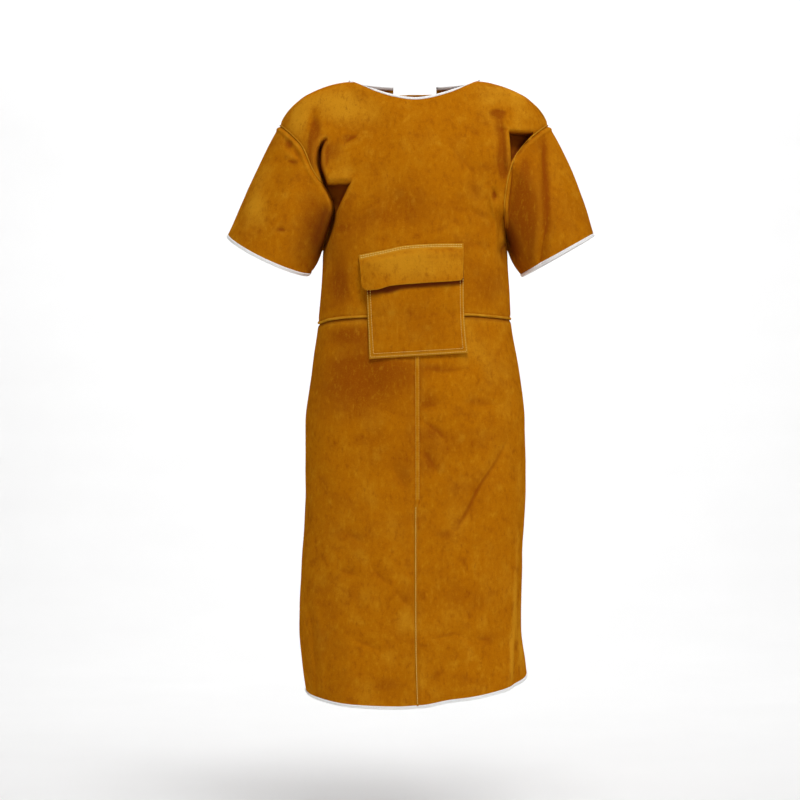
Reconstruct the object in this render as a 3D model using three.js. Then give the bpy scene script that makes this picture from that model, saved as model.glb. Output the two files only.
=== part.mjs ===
import * as THREE from 'three';

// Leather welding apron in the form of a short-sleeved gown that is open at the back.
// Millimetres, +Z up. The front faces -Y and +X is the right-hand side seen from the front.
// The origin lies midway between the two points where the neckline meets the shoulders.

// Leather, seam welts and edge binding
const WALL = 2.0;
const GAP = 0.35;
const WELT_RADIUS = 2.2;
const WELT_SIDES = 6;
const SEAM_GAP = 0.55;
const SEAM_INSET = WELT_RADIUS + SEAM_GAP;
const BUTT_INSET = 0.7;
const TAPE_GAP = 0.8;
const TAPE_WIDTH = 4.4;
const TAPE_HALF = 1.1;
const TAPE_ROUND = 0.7;

// Grid of each panel: columns across, rows along
const NECK_COLUMNS = 14;
const SHOULDER_COLUMNS = 6;
const BACK_NECK_COLUMNS = 4;
const SIDE_ROWS = 6;
const ARMHOLE_ROWS = 12;
const SKIRT_COLUMNS = 20;
const SKIRT_ROWS = 15;
const SLEEVE_ROWS = 6;

// Horizontal sections of the body, from the armpits to the hem.
// drop: depth below the origin; left, right: half widths; front, back: depths;
// opening: distance of each back edge from the middle.
const FORM = [
  { drop: 305, left: 174, right: 174, front: 132, back: 106, opening: 48 },
  { drop: 370, left: 177, right: 177, front: 132, back: 108, opening: 51 },
  { drop: 446, left: 182, right: 180, front: 129, back: 110, opening: 54 },
  { drop: 550, left: 196, right: 196, front: 137, back: 118, opening: 60 },
  { drop: 642, left: 207, right: 207, front: 144, back: 124, opening: 64 },
  { drop: 756, left: 207, right: 209, front: 148, back: 126, opening: 68 },
  { drop: 893, left: 212, right: 202, front: 150, back: 126, opening: 72 },
  { drop: 1029, left: 218, right: 200, front: 151, back: 125, opening: 76 },
  { drop: 1098, left: 213, right: 209, front: 151, back: 124, opening: 78 },
  { drop: 1165, left: 203, right: 215, front: 151, back: 123, opening: 80 },
];
const SQUARENESS = 2.3;
const WAIST_DROP = 446;
const RIBS_DROP = 370;
const ARMPIT_DROP = 305;

// Hem height round the skirt. angle: degrees from the middle front, minus to the left.
const HEM = [
  { angle: -150, drop: 1150 },
  { angle: -90, drop: 1149 },
  { angle: -45, drop: 1160 },
  { angle: -10, drop: 1159 },
  { angle: 30, drop: 1148 },
  { angle: 60, drop: 1137 },
  { angle: 90, drop: 1120 },
  { angle: 150, drop: 1132 },
];

// Levels of the bodice, from the waist seam to the shoulder line
const WAIST_LEVEL = 0;
const RIBS_LEVEL = 0.18;
const ARMPIT_LEVEL = 0.34;

// Places of the guide lines across the front: middle 0, neck, shoulder, arm 1
const NECK_PLACE = 0.5;
const SHOULDER_PLACE = 0.78;
// Places of the guide lines across a back half: arm 0, shoulder, neck, opening 1
const BACK_SHOULDER_PLACE = 0.36;
const BACK_NECK_PLACE = 2 / 3;

// Cross lines of the chest above the armpits. round: how far the line bends as the neckline does.
// Each line runs from the middle through the neck and shoulder guides to the armhole.
const CHEST = [
  { level: 0.5, round: 0, middle_y: -131, middle_z: -232, neck_x: 112, neck_y: -105, neck_z: -232,
    shoulder_x: 142, shoulder_y: -90, shoulder_z: -234, left_x: 154, right_x: 166, arm_y: -80, arm_z: -238 },
  { level: 0.66, round: 0, middle_y: -123, middle_z: -165, neck_x: 116, neck_y: -103, neck_z: -156,
    shoulder_x: 160, shoulder_y: -95, shoulder_z: -158, left_x: 192, right_x: 177, arm_y: -86, arm_z: -169 },
  { level: 0.8, round: 0, middle_y: -110, middle_z: -108, neck_x: 119, neck_y: -78, neck_z: -76,
    shoulder_x: 178, shoulder_y: -70, shoulder_z: -88, left_x: 211, right_x: 200, arm_y: -66, arm_z: -126 },
  { level: 0.92, round: 0.5, middle_y: -93, middle_z: -64, neck_x: 121, neck_y: -38, neck_z: -8,
    shoulder_x: 202, shoulder_y: -32, shoulder_z: -32, left_x: 246, right_x: 240, arm_y: -30, arm_z: -88 },
  { level: 1, round: 1, middle_y: -78, middle_z: -40, neck_x: 121, neck_y: -2, neck_z: 3,
    shoulder_x: 205, shoulder_y: 1, shoulder_z: -22, left_x: 256, right_x: 252, arm_y: 0, arm_z: -79 },
];
const NECKLINE_RISE = 1.7;

// Cross lines of the back above the armpits, from the armhole to the back opening
const BACK = [
  { level: 0.5, round: 0, opening_x: 47, opening_y: 104, opening_z: -232,
    neck_x: 112, neck_y: 96, neck_z: -232, shoulder_x: 144, shoulder_y: 86, shoulder_z: -234,
    left_x: 162, right_x: 166, arm_y: 74, arm_z: -238 },
  { level: 0.66, round: 0, opening_x: 46, opening_y: 102, opening_z: -162,
    neck_x: 116, neck_y: 94, neck_z: -150, shoulder_x: 164, shoulder_y: 87, shoulder_z: -154,
    left_x: 192, right_x: 188, arm_y: 80, arm_z: -169 },
  { level: 0.8, round: 0, opening_x: 45, opening_y: 94, opening_z: -80,
    neck_x: 119, neck_y: 72, neck_z: -62, shoulder_x: 184, shoulder_y: 66, shoulder_z: -80,
    left_x: 214, right_x: 210, arm_y: 62, arm_z: -126 },
  { level: 0.92, round: 0.5, opening_x: 43, opening_y: 80, opening_z: -26,
    neck_x: 121, neck_y: 32, neck_z: -1, shoulder_x: 203, shoulder_y: 30, shoulder_z: -31,
    left_x: 247, right_x: 243, arm_y: 29, arm_z: -88 },
  { level: 1, round: 1, opening_x: 42, opening_y: 66, opening_z: -1,
    neck_x: 121, neck_y: -2, neck_z: 3, shoulder_x: 205, shoulder_y: 1, shoulder_z: -22,
    left_x: 256, right_x: 252, arm_y: 0, arm_z: -79 },
];

// Sleeves. The cuff is an oval: its middle, half sizes, the rise of its outer end and the drop of its front.
// puff: how far the cap stands out; fold: how far the underside leaves the body, as a share of its length.
const SLEEVES = [
  { side: 'left', sign: -1, middle_x: 275, middle_y: -6, middle_z: -322, half_wide: 78, half_deep: 80,
    outer_rise: 36, front_drop: 18, puff: 3, fold: 0.32 },
  { side: 'right', sign: 1, middle_x: 269, middle_y: -6, middle_z: -324, half_wide: 67, half_deep: 88,
    outer_rise: 38, front_drop: 2, puff: 9, fold: 0.32 },
];
const SLEEVE_LEAD = 0.35;

// Folds and dents, as straight lines seen from the front. depth: into the body, minus for a ridge.
const FOLDS = [
  { panel: 'bodice', x1: -166, z1: -112, x2: -171, z2: -165, width: 15, depth: 9 },
  { panel: 'bodice', x1: -171, z1: -165, x2: -150, z2: -240, width: 15, depth: 10 },
  { panel: 'bodice', x1: -140, z1: -110, x2: -122, z2: -200, width: 22, depth: 4 },
  { panel: 'bodice', x1: 205, z1: -104, x2: 180, z2: -150, width: 17, depth: 12 },
  { panel: 'bodice', x1: 155, z1: -70, x2: 152, z2: -185, width: 14, depth: 6 },
  { panel: 'bodice', x1: 170, z1: -180, x2: 166, z2: -300, width: 14, depth: -4 },
  { panel: 'bodice', x1: -152, z1: -52, x2: -186, z2: -112, width: 18, depth: 4 },
  { panel: 'sleeve', x1: -228, z1: -120, x2: -248, z2: -190, width: 24, depth: 7 },
  { panel: 'sleeve', x1: 232, z1: -130, x2: 236, z2: -290, width: 14, depth: 6 },
  { panel: 'sleeve', x1: 262, z1: -170, x2: 284, z2: -300, width: 16, depth: 6 },
  { panel: 'skirt', x1: 161, z1: -693, x2: 75, z2: -840, width: 20, depth: 5 },
  { panel: 'skirt', x1: 189, z1: -860, x2: 178, z2: -1116, width: 18, depth: 9 },
  { panel: 'skirt', x1: -120, z1: -980, x2: -128, z2: -1160, width: 34, depth: -6 },
  { panel: 'skirt', x1: 84, z1: -960, x2: 96, z2: -1150, width: 30, depth: -6 },
  { panel: 'skirt', x1: -30, z1: -1000, x2: -34, z2: -1160, width: 34, depth: 4 },
];
const FOLD_FADE = 40;

// Patch pocket and its flap, in the plane of the front. The mouth of the pocket stands open behind the flap.
const POCKET = { x: 3, z: -432, width: 178, height: 172, tilt: 3.4, columns: 10, rows: 9 };
const POCKET_SEAT = 1.6;
const POCKET_ROOM = 10.0;
const POCKET_SIDE_POWER = 0.5;
const POCKET_FULL_SHARE = 0.4;
const POCKET_BOTTOM_POWER = 0.7;
const FLAP = { x: -7, z: -354, width: 191, height: 64, tilt: 6.2, columns: 10, rows: 4 };
const FLAP_SEAT = 0.5;
const FLAP_LIFT = 15.8;
const FLAP_RISE_SHARE = 0.3;
const FLAP_CUT = 7;
const FLAP_END = 0.03;
const FLAP_SIDE_POWER = 0.35;

// Straps that close the back, each with one plain clasp
const STRAPS = [
  { name: 'neck', z: -24, half_length: 86, width: 26, seat: 1.6, clasp_width: 34, clasp_height: 32 },
  { name: 'waist', z: -420, half_length: 112, width: 32, seat: 0.8, clasp_width: 42, clasp_height: 40 },
];
const STRAP_COLUMNS = 12;
const STRAP_ROWS = 2;
const CLASP_DEPTH = 5;
const CLASP_CORNER = 4;
const CLASP_CORNER_STEPS = 4;
const CLASP_PROBES = [-0.48, 0, 0.48];
const CLASP_SEAT = 0.7;

// Rays that find the walls under a laid piece
const RAY_START = 1000;
const RAY_SPREAD = 1.2;

// Finishes
const SUEDE = new THREE.Color(0xb06a0c);
const WELT_COLOUR = new THREE.Color(0xc9954a);
const TAPE_COLOUR = new THREE.Color(0xf2eeea);
const CLASP_COLOUR = new THREE.Color(0x2b2a28);
const LEATHER_ROUGHNESS = 0.95;
const TAPE_ROUGHNESS = 0.85;
const CLASP_ROUGHNESS = 0.5;

const apron = new THREE.Group();
const SIDES = [['left', -1], ['right', 1]];

// Smooth curve through a table of values that never overshoots them
function curveThrough(keys, values, at) {
  const last = keys.length - 1;
  const x = THREE.MathUtils.clamp(at, keys[0], keys[last]);
  let k = 0;
  while (k < last - 1 && x > keys[k + 1]) k += 1;
  const rise = (i) => (values[i + 1] - values[i]) / (keys[i + 1] - keys[i]);
  const endSlope = (i, next) => {
    const near = Math.abs(keys[i + 1] - keys[i]);
    const far = Math.abs(keys[next + 1] - keys[next]);
    const slope = ((2 * near + far) * rise(i) - near * rise(next)) / (near + far);
    return slope * rise(i) <= 0 ? 0 : slope;
  };
  const slope = (i) => {
    if (i === 0) return endSlope(0, 1);
    if (i === last) return endSlope(last - 1, last - 2);
    const before = rise(i - 1);
    const after = rise(i);
    return before * after <= 0 ? 0 : (2 * before * after) / (before + after);
  };
  const step = keys[k + 1] - keys[k];
  const u = (x - keys[k]) / step;
  const v = 1 - u;
  const start = v * v * ((1 + 2 * u) * values[k] + u * step * slope(k));
  const end = u * u * ((1 + 2 * v) * values[k + 1] - v * step * slope(k + 1));
  return start + end;
}

function fromTable(table, key, column, at) {
  return curveThrough(table.map((row) => row[key]), table.map((row) => row[column]), at);
}

function curvePoint(keys, points, at) {
  const along = (axis) => curveThrough(keys, points.map((p) => p[axis]), at);
  return new THREE.Vector3(along('x'), along('y'), along('z'));
}

// Push of the folds at a point on a panel, fading out where the panel turns to the side and back
function folded(panel, point) {
  const here = new THREE.Vector3(point.x, 0, point.z);
  const nearest = new THREE.Vector3();
  let push = 0;
  for (const fold of FOLDS.filter((row) => row.panel === panel)) {
    const start = new THREE.Vector3(fold.x1, 0, fold.z1);
    const end = new THREE.Vector3(fold.x2, 0, fold.z2);
    new THREE.Line3(start, end).closestPointToPoint(here, true, nearest);
    push += fold.depth * Math.exp(-((nearest.distanceTo(here) / fold.width) ** 2));
  }
  const fade = THREE.MathUtils.smoothstep(-point.y, 0, FOLD_FADE);
  return new THREE.Vector3(point.x, point.y + push * fade, point.z);
}

// Point of the body at a depth below the origin; angle 0 is the middle front and +90 degrees the right side
function ring(drop, angle) {
  const half = fromTable(FORM, 'drop', angle < 0 ? 'left' : 'right', drop);
  const deep = fromTable(FORM, 'drop', Math.cos(angle) > 0 ? 'front' : 'back', drop);
  const shaped = (value) => Math.sign(value) * Math.abs(value) ** (2 / SQUARENESS);
  return new THREE.Vector3(half * shaped(Math.sin(angle)), -deep * shaped(Math.cos(angle)), -drop);
}

// Angle at which the body reaches a distance from the middle plane, on the front or the back
function angleAt(drop, distance, sign, isBack) {
  const half = fromTable(FORM, 'drop', sign < 0 ? 'left' : 'right', drop);
  const angle = Math.asin((distance / half) ** (SQUARENESS / 2));
  return sign * (isBack ? Math.PI - angle : angle);
}

const SIDE_LEVELS = [[WAIST_LEVEL, WAIST_DROP], [RIBS_LEVEL, RIBS_DROP], [ARMPIT_LEVEL, ARMPIT_DROP]];

// One chest line at a place from -1, the left armhole, to 1, the right armhole
function chestLine(row, place) {
  const distance = Math.abs(place);
  const middle = new THREE.Vector3(0, row.middle_y, row.middle_z);
  const neck = new THREE.Vector3(row.neck_x, row.neck_y, row.neck_z);
  const mirrored = new THREE.Vector3(-row.neck_x, row.neck_y, row.neck_z);
  const shoulder = new THREE.Vector3(row.shoulder_x, row.shoulder_y, row.shoulder_z);
  const arm = new THREE.Vector3(place < 0 ? row.left_x : row.right_x, row.arm_y, row.arm_z);
  const keys = [-NECK_PLACE, 0, NECK_PLACE, SHOULDER_PLACE, 1];
  const point = curvePoint(keys, [mirrored, middle, neck, shoulder, arm], distance);
  if (distance < NECK_PLACE) {
    const turn = (distance / NECK_PLACE) * (Math.PI / 2);
    const neckline = new THREE.Vector3(
      row.neck_x * Math.sin(turn),
      row.neck_y + (row.middle_y - row.neck_y) * Math.cos(turn),
      row.middle_z + (row.neck_z - row.middle_z) * Math.sin(turn) ** NECKLINE_RISE,
    );
    point.lerp(neckline, row.round);
  }
  point.x *= Math.sign(place);
  return point;
}

function bodiceFront(place, level) {
  const keys = [...SIDE_LEVELS.map((row) => row[0]), ...CHEST.map((row) => row.level)];
  const sides = SIDE_LEVELS.map((row) => ring(row[1], place * (Math.PI / 2)));
  const points = [...sides, ...CHEST.map((row) => chestLine(row, place))];
  return folded('bodice', curvePoint(keys, points, level));
}

// One line of a back half at a place from 0, the armhole, to 1, the back opening
function backLine(row, sign, place) {
  const arm = new THREE.Vector3(sign < 0 ? row.left_x : row.right_x, row.arm_y, row.arm_z);
  const shoulder = new THREE.Vector3(row.shoulder_x, row.shoulder_y, row.shoulder_z);
  const neck = new THREE.Vector3(row.neck_x, row.neck_y, row.neck_z);
  const opening = new THREE.Vector3(row.opening_x, row.opening_y, row.opening_z);
  const keys = [0, BACK_SHOULDER_PLACE, BACK_NECK_PLACE, 1];
  const point = curvePoint(keys, [arm, shoulder, neck, opening], place);
  if (place > BACK_NECK_PLACE) {
    const share = (place - BACK_NECK_PLACE) / (1 - BACK_NECK_PLACE);
    const lastTurn = Math.PI - Math.asin(row.opening_x / row.neck_x);
    const turn = THREE.MathUtils.lerp(Math.PI / 2, lastTurn, share);
    const reach = Math.cos(turn) / Math.cos(lastTurn);
    const neckline = new THREE.Vector3(
      row.neck_x * Math.sin(turn),
      THREE.MathUtils.lerp(row.neck_y, row.opening_y, reach),
      THREE.MathUtils.lerp(row.neck_z, row.opening_z, reach),
    );
    point.lerp(neckline, row.round);
  }
  point.x *= sign;
  return point;
}

function bodiceBack(sign, place, level) {
  const keys = [...SIDE_LEVELS.map((row) => row[0]), ...BACK.map((row) => row.level)];
  const sides = SIDE_LEVELS.map(([, drop]) => {
    const edge = angleAt(drop, fromTable(FORM, 'drop', 'opening', drop), sign, true);
    return ring(drop, THREE.MathUtils.lerp(sign * (Math.PI / 2), edge, place));
  });
  const points = [...sides, ...BACK.map((row) => backLine(row, sign, place))];
  return curvePoint(keys, points, level);
}

// Rows of the bodice: even steps up the side seam, then even steps up the armhole
function bodiceLevel(row) {
  if (row < SIDE_ROWS) return (ARMPIT_LEVEL * row) / SIDE_ROWS;
  return ARMPIT_LEVEL + ((1 - ARMPIT_LEVEL) * (row - SIDE_ROWS)) / ARMHOLE_ROWS;
}

// Armhole loop: from the shoulder down the front to the armpit and up the back
function armhole(sign, step) {
  const row = SIDE_ROWS + Math.abs(ARMHOLE_ROWS - step);
  if (step <= ARMHOLE_ROWS) return bodiceFront(sign, bodiceLevel(row));
  return bodiceBack(sign, 0, bodiceLevel(row));
}

// Moves a point towards another by a fixed distance
function towards(from, to, distance) {
  return from.clone().add(to.clone().sub(from).setLength(distance));
}

// Normals of a grid of points, from the differences between neighbours
function gridNormals(grid, wraps) {
  const rows = grid.length;
  const columns = grid[0].length;
  return grid.map((line, j) => line.map((point, i) => {
    const before = wraps ? (i + columns - 1) % columns : Math.max(i - 1, 0);
    const after = wraps ? (i + 1) % columns : Math.min(i + 1, columns - 1);
    const across = line[after].clone().sub(line[before]);
    const along = grid[Math.min(j + 1, rows - 1)][i].clone().sub(grid[Math.max(j - 1, 0)][i]);
    return across.cross(along).normalize();
  }));
}

// Closed body from points and triangles, turned so that its faces point out
function closedBody(points, triangles) {
  let volume = 0;
  for (const [a, b, c] of triangles) {
    volume += points[a].dot(points[b].clone().cross(points[c]));
  }
  const facing = volume > 0 ? triangles : triangles.map(([a, b, c]) => [a, c, b]);
  const geometry = new THREE.BufferGeometry().setFromPoints(points);
  geometry.setIndex(facing.flat());
  geometry.computeVertexNormals();
  return geometry;
}

// Wall of even thickness about a grid of points on its middle surface
function wallAbout(grid, thickness, wraps = false) {
  const rows = grid.length;
  const columns = grid[0].length;
  const normals = gridNormals(grid, wraps);
  const shifted = (shift) => grid.flatMap((line, j) => (
    line.map((point, i) => point.clone().addScaledVector(normals[j][i], shift))));
  const points = [...shifted(thickness / 2), ...shifted(-thickness / 2)];
  const inner = rows * columns;
  const triangles = [];
  const cells = wraps ? columns : columns - 1;
  for (let j = 0; j < rows - 1; j += 1) {
    for (let i = 0; i < cells; i += 1) {
      const next = (i + 1) % columns;
      const a = j * columns + i;
      const b = j * columns + next;
      const c = (j + 1) * columns + next;
      const d = (j + 1) * columns + i;
      triangles.push([a, b, c], [a, c, d]);
    }
  }
  const outline = new Map();
  for (const [a, b, c] of triangles) {
    for (const [from, to] of [[a, b], [b, c], [c, a]]) {
      if (!outline.delete(`${to}>${from}`)) outline.set(`${from}>${to}`, [from, to]);
    }
  }
  const hidden = triangles.map(([a, b, c]) => [a + inner, c + inner, b + inner]);
  const rim = [...outline.values()].flatMap(([from, to]) => [
    [to, from, from + inner],
    [to, from + inner, to + inner],
  ]);
  return closedBody(points, [...triangles, ...hidden, ...rim]);
}

// Body swept along stations, each with a point and the two directions of the flat section there
function sweptBody(stations, section, closed) {
  const count = section.length;
  const points = stations.flatMap(({ at, across, up }) => section.map(([a, b]) => (
    at.clone().addScaledVector(across, a).addScaledVector(up, b))));
  const triangles = [];
  const spans = closed ? stations.length : stations.length - 1;
  for (let j = 0; j < spans; j += 1) {
    const here = j * count;
    const there = ((j + 1) % stations.length) * count;
    for (let i = 0; i < count; i += 1) {
      const next = (i + 1) % count;
      triangles.push([here + i, here + next, there + next], [here + i, there + next, there + i]);
    }
  }
  if (!closed) {
    const outline = section.map(([a, b]) => new THREE.Vector2(a, b));
    const last = (stations.length - 1) * count;
    for (const [a, b, c] of THREE.ShapeUtils.triangulateShape(outline, [])) {
      const turned = THREE.ShapeUtils.isClockWise(outline);
      const [p, q, r] = turned ? [a, c, b] : [a, b, c];
      triangles.push([p, r, q], [last + p, last + q, last + r]);
    }
  }
  return closedBody(points, triangles);
}

function tangentsAlong(points, closed) {
  const count = points.length;
  return points.map((point, i) => {
    const before = closed ? (i + count - 1) % count : Math.max(i - 1, 0);
    const after = closed ? (i + 1) % count : Math.min(i + 1, count - 1);
    return points[after].clone().sub(points[before]).normalize();
  });
}

// Rolled welt of round section along a seam
function weltAlong(points, closed) {
  const section = Array.from({ length: WELT_SIDES }, (unused, i) => {
    const angle = (2 * Math.PI * i) / WELT_SIDES;
    return [WELT_RADIUS * Math.cos(angle), WELT_RADIUS * Math.sin(angle)];
  });
  const tangents = tangentsAlong(points, closed);
  const middle = points.reduce((sum, p) => sum.add(p), new THREE.Vector3()).divideScalar(points.length);
  const stations = points.map((at, i) => {
    const outward = at.clone().sub(middle);
    const across = tangents[i].clone().cross(outward).normalize();
    return { at, across, up: across.clone().cross(tangents[i]).normalize() };
  });
  return sweptBody(stations, section, closed);
}

// Rolled binding along the free edge of a wall, round on its outer side
function bindingAlong(points, normals, closed) {
  const outer = TAPE_GAP + TAPE_WIDTH;
  const section = [
    [TAPE_GAP, -TAPE_HALF], [outer - TAPE_ROUND, -TAPE_HALF], [outer, TAPE_ROUND - TAPE_HALF],
    [outer, TAPE_HALF - TAPE_ROUND], [outer - TAPE_ROUND, TAPE_HALF], [TAPE_GAP, TAPE_HALF],
  ];
  const tangents = tangentsAlong(points, closed);
  const stations = points.map((at, i) => {
    const across = normals[i].clone().cross(tangents[i]).normalize();
    return { at, across, up: across.clone().cross(tangents[i]).normalize() };
  });
  return sweptBody(stations, section, closed);
}

function add(name, geometry, colour, roughness) {
  const material = new THREE.MeshStandardMaterial({ color: colour, roughness, metalness: 0 });
  const mesh = new THREE.Mesh(geometry, material);
  mesh.name = name;
  apron.add(mesh);
  mesh.updateMatrixWorld(true);
  return mesh;
}

const addLeather = (name, geometry) => add(name, geometry, SUEDE, LEATHER_ROUGHNESS);
const addWelt = (name, points, closed) => {
  return add(name, weltAlong(points, closed), WELT_COLOUR, LEATHER_ROUGHNESS);
};
const addTape = (name, geometry) => add(name, geometry, TAPE_COLOUR, TAPE_ROUGHNESS);

// Draws the edge of a bodice panel back from the armhole welt, square to the armhole
function clearOfArmhole(grid, edgeColumn, innerColumn) {
  const edge = grid.map((line) => line[edgeColumn]);
  const normals = gridNormals(grid, false);
  const tangents = tangentsAlong(edge.slice(SIDE_ROWS), false);
  const turn = Math.sign(innerColumn - edgeColumn);
  for (let j = SIDE_ROWS; j < grid.length; j += 1) {
    const inward = tangents[j - SIDE_ROWS].clone().cross(normals[j][edgeColumn]).multiplyScalar(turn);
    grid[j][edgeColumn] = edge[j].clone().add(inward.setLength(SEAM_INSET));
  }
}

// Trims a panel at the waist welt, the side seam and the shoulder seam
function trimBodice(grid, armColumns, shoulderColumns) {
  const last = grid.length - 1;
  grid[0] = grid[0].map((point, i) => towards(point, grid[1][i], SEAM_INSET));
  for (const i of shoulderColumns) grid[last][i] = towards(grid[last][i], grid[last - 1][i], BUTT_INSET);
  for (const [edge, inner] of armColumns) {
    for (let j = 0; j < SIDE_ROWS; j += 1) grid[j][edge] = towards(grid[j][edge], grid[j][inner], BUTT_INSET);
    clearOfArmhole(grid, edge, inner);
  }
}

// Places of the front columns: close together over the neckline and over each shoulder
function frontPlaces() {
  const places = [];
  const count = 2 * SHOULDER_COLUMNS + NECK_COLUMNS;
  for (let i = 0; i <= count; i += 1) {
    const fromLeft = i / SHOULDER_COLUMNS;
    const fromRight = (count - i) / SHOULDER_COLUMNS;
    if (fromLeft <= 1) places.push(-1 + (1 - NECK_PLACE) * fromLeft);
    else if (fromRight <= 1) places.push(1 - (1 - NECK_PLACE) * fromRight);
    else places.push(-NECK_PLACE + (2 * NECK_PLACE * (i - SHOULDER_COLUMNS)) / NECK_COLUMNS);
  }
  return places;
}

// Chest panel
const rowLevels = Array.from({ length: SIDE_ROWS + ARMHOLE_ROWS + 1 }, (unused, j) => bodiceLevel(j));
const places = frontPlaces();
const frontGrid = rowLevels.map((level) => places.map((place) => bodiceFront(place, level)));
const lastPlace = places.length - 1;
const shoulderColumns = places.flatMap((place, i) => (Math.abs(place) >= NECK_PLACE ? [i] : []));
trimBodice(frontGrid, [[0, 1], [lastPlace, lastPlace - 1]], shoulderColumns);
const chest = addLeather('bodice_front', wallAbout(frontGrid, WALL));

// Back halves
const backPlaces = [];
for (let i = 0; i <= SHOULDER_COLUMNS; i += 1) backPlaces.push((BACK_NECK_PLACE * i) / SHOULDER_COLUMNS);
for (let i = 1; i <= BACK_NECK_COLUMNS; i += 1) {
  backPlaces.push(BACK_NECK_PLACE + ((1 - BACK_NECK_PLACE) * i) / BACK_NECK_COLUMNS);
}
const backGrids = {};
const backHalves = SIDES.map(([side, sign]) => {
  const grid = rowLevels.map((level) => backPlaces.map((place) => bodiceBack(sign, place, level)));
  trimBodice(grid, [[0, 1]], backPlaces.flatMap((place, i) => (place <= BACK_NECK_PLACE ? [i] : [])));
  backGrids[side] = grid;
  return addLeather(`bodice_back_${side}`, wallAbout(grid, WALL));
});

// Skirt halves, from the centre front welt to the back edge
const skirtGrids = {};
const skirts = SIDES.map(([side, sign]) => {
  const hemDrop = (angle) => fromTable(HEM, 'angle', 'drop', THREE.MathUtils.radToDeg(angle));
  const grid = [];
  for (let j = 0; j <= SKIRT_ROWS; j += 1) {
    grid.push(Array.from({ length: SKIRT_COLUMNS + 1 }, (unused, i) => {
      const share = j / SKIRT_ROWS;
      const roughDrop = THREE.MathUtils.lerp(WAIST_DROP, HEM[0].drop, share);
      const first = angleAt(roughDrop, SEAM_INSET, sign, false);
      const last = angleAt(roughDrop, fromTable(FORM, 'drop', 'opening', roughDrop), sign, true);
      const angle = THREE.MathUtils.lerp(first, last, i / SKIRT_COLUMNS);
      const drop = THREE.MathUtils.lerp(WAIST_DROP + SEAM_INSET, hemDrop(angle), share);
      return folded('skirt', ring(drop, angle));
    }));
  }
  skirtGrids[side] = grid;
  return addLeather(`skirt_${side}`, wallAbout(grid, WALL));
});

// Sleeves, from the armhole welt to the cuff
const SLEEVE_COLUMNS = 2 * ARMHOLE_ROWS;
function cuff(sleeve, step) {
  const turn = (2 * Math.PI * step) / SLEEVE_COLUMNS;
  const outer = Math.cos(turn);
  const front = Math.sin(turn);
  return new THREE.Vector3(
    sleeve.sign * (sleeve.middle_x + sleeve.half_wide * outer),
    sleeve.middle_y - sleeve.half_deep * front,
    sleeve.middle_z + sleeve.outer_rise * outer - sleeve.front_drop * Math.max(front, 0),
  );
}

function sleeveLine(sleeve, step) {
  const turn = (2 * Math.PI * step) / SLEEVE_COLUMNS;
  const start = armhole(sleeve.sign, step);
  const end = cuff(sleeve, step);
  const away = new THREE.Vector3(start.x, start.y, 0).normalize();
  const under = (1 - Math.cos(turn)) / 2;
  const reach = sleeve.fold * under * start.distanceTo(end);
  const lead = start.clone().lerp(end, SLEEVE_LEAD).addScaledVector(away, reach);
  lead.x += sleeve.sign * sleeve.puff * 2 * (1 - under);
  return new THREE.QuadraticBezierCurve3(start, lead, end);
}

for (const sleeve of SLEEVES) {
  const steps = Array.from({ length: SLEEVE_COLUMNS }, (unused, step) => step);
  const lines = steps.map((step) => sleeveLine(sleeve, step));
  const grid = [];
  for (let j = 0; j <= SLEEVE_ROWS; j += 1) {
    grid.push(lines.map((line) => {
      const first = SEAM_INSET / line.getLength();
      const point = line.getPointAt(THREE.MathUtils.lerp(first, 1, j / SLEEVE_ROWS));
      return j === 0 ? point : folded('sleeve', point);
    }));
  }
  addLeather(`sleeve_${sleeve.side}`, wallAbout(grid, WALL, true));
  addWelt(`armhole_welt_${sleeve.side}`, steps.map((step) => armhole(sleeve.sign, step)), true);
  const normals = gridNormals(grid, true);
  addTape(`cuff_binding_${sleeve.side}`, bindingAlong(grid[SLEEVE_ROWS], normals[SLEEVE_ROWS], true));
}

// Welts of the waist seam and the centre front seam
const waistAngles = SIDES.map(([, sign]) => {
  const last = angleAt(WAIST_DROP, fromTable(FORM, 'drop', 'opening', WAIST_DROP), sign, true);
  return Array.from({ length: SKIRT_COLUMNS + 1 }, (unused, i) => (last * i) / SKIRT_COLUMNS);
});
const waistLine = [...waistAngles[0].reverse(), ...waistAngles[1].slice(1)];
const waistPoints = waistLine.map((angle) => folded('skirt', ring(WAIST_DROP, angle)));
const waistWelt = addWelt('waist_welt', waistPoints, false);

const centreTop = WAIST_DROP + WELT_RADIUS + GAP;
const centreLine = Array.from({ length: SKIRT_ROWS + 1 }, (unused, j) => {
  const bottom = fromTable(HEM, 'angle', 'drop', 0);
  return folded('skirt', ring(THREE.MathUtils.lerp(centreTop, bottom, j / SKIRT_ROWS), 0));
});
const centreWelt = addWelt('center_welt', centreLine, false);

// Hem binding, in one run from the left back edge to the right one
const hemRuns = SIDES.map(([side]) => {
  const grid = skirtGrids[side];
  return { points: grid[SKIRT_ROWS], normals: gridNormals(grid, false)[SKIRT_ROWS] };
});
const [hemLeft, hemRight] = hemRuns;
hemLeft.normals.forEach((normal) => normal.negate());
addTape('hem_binding', bindingAlong(
  [...hemLeft.points.slice().reverse(), ...hemRight.points],
  [...hemLeft.normals.slice().reverse(), ...hemRight.normals],
  false,
));

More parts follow.
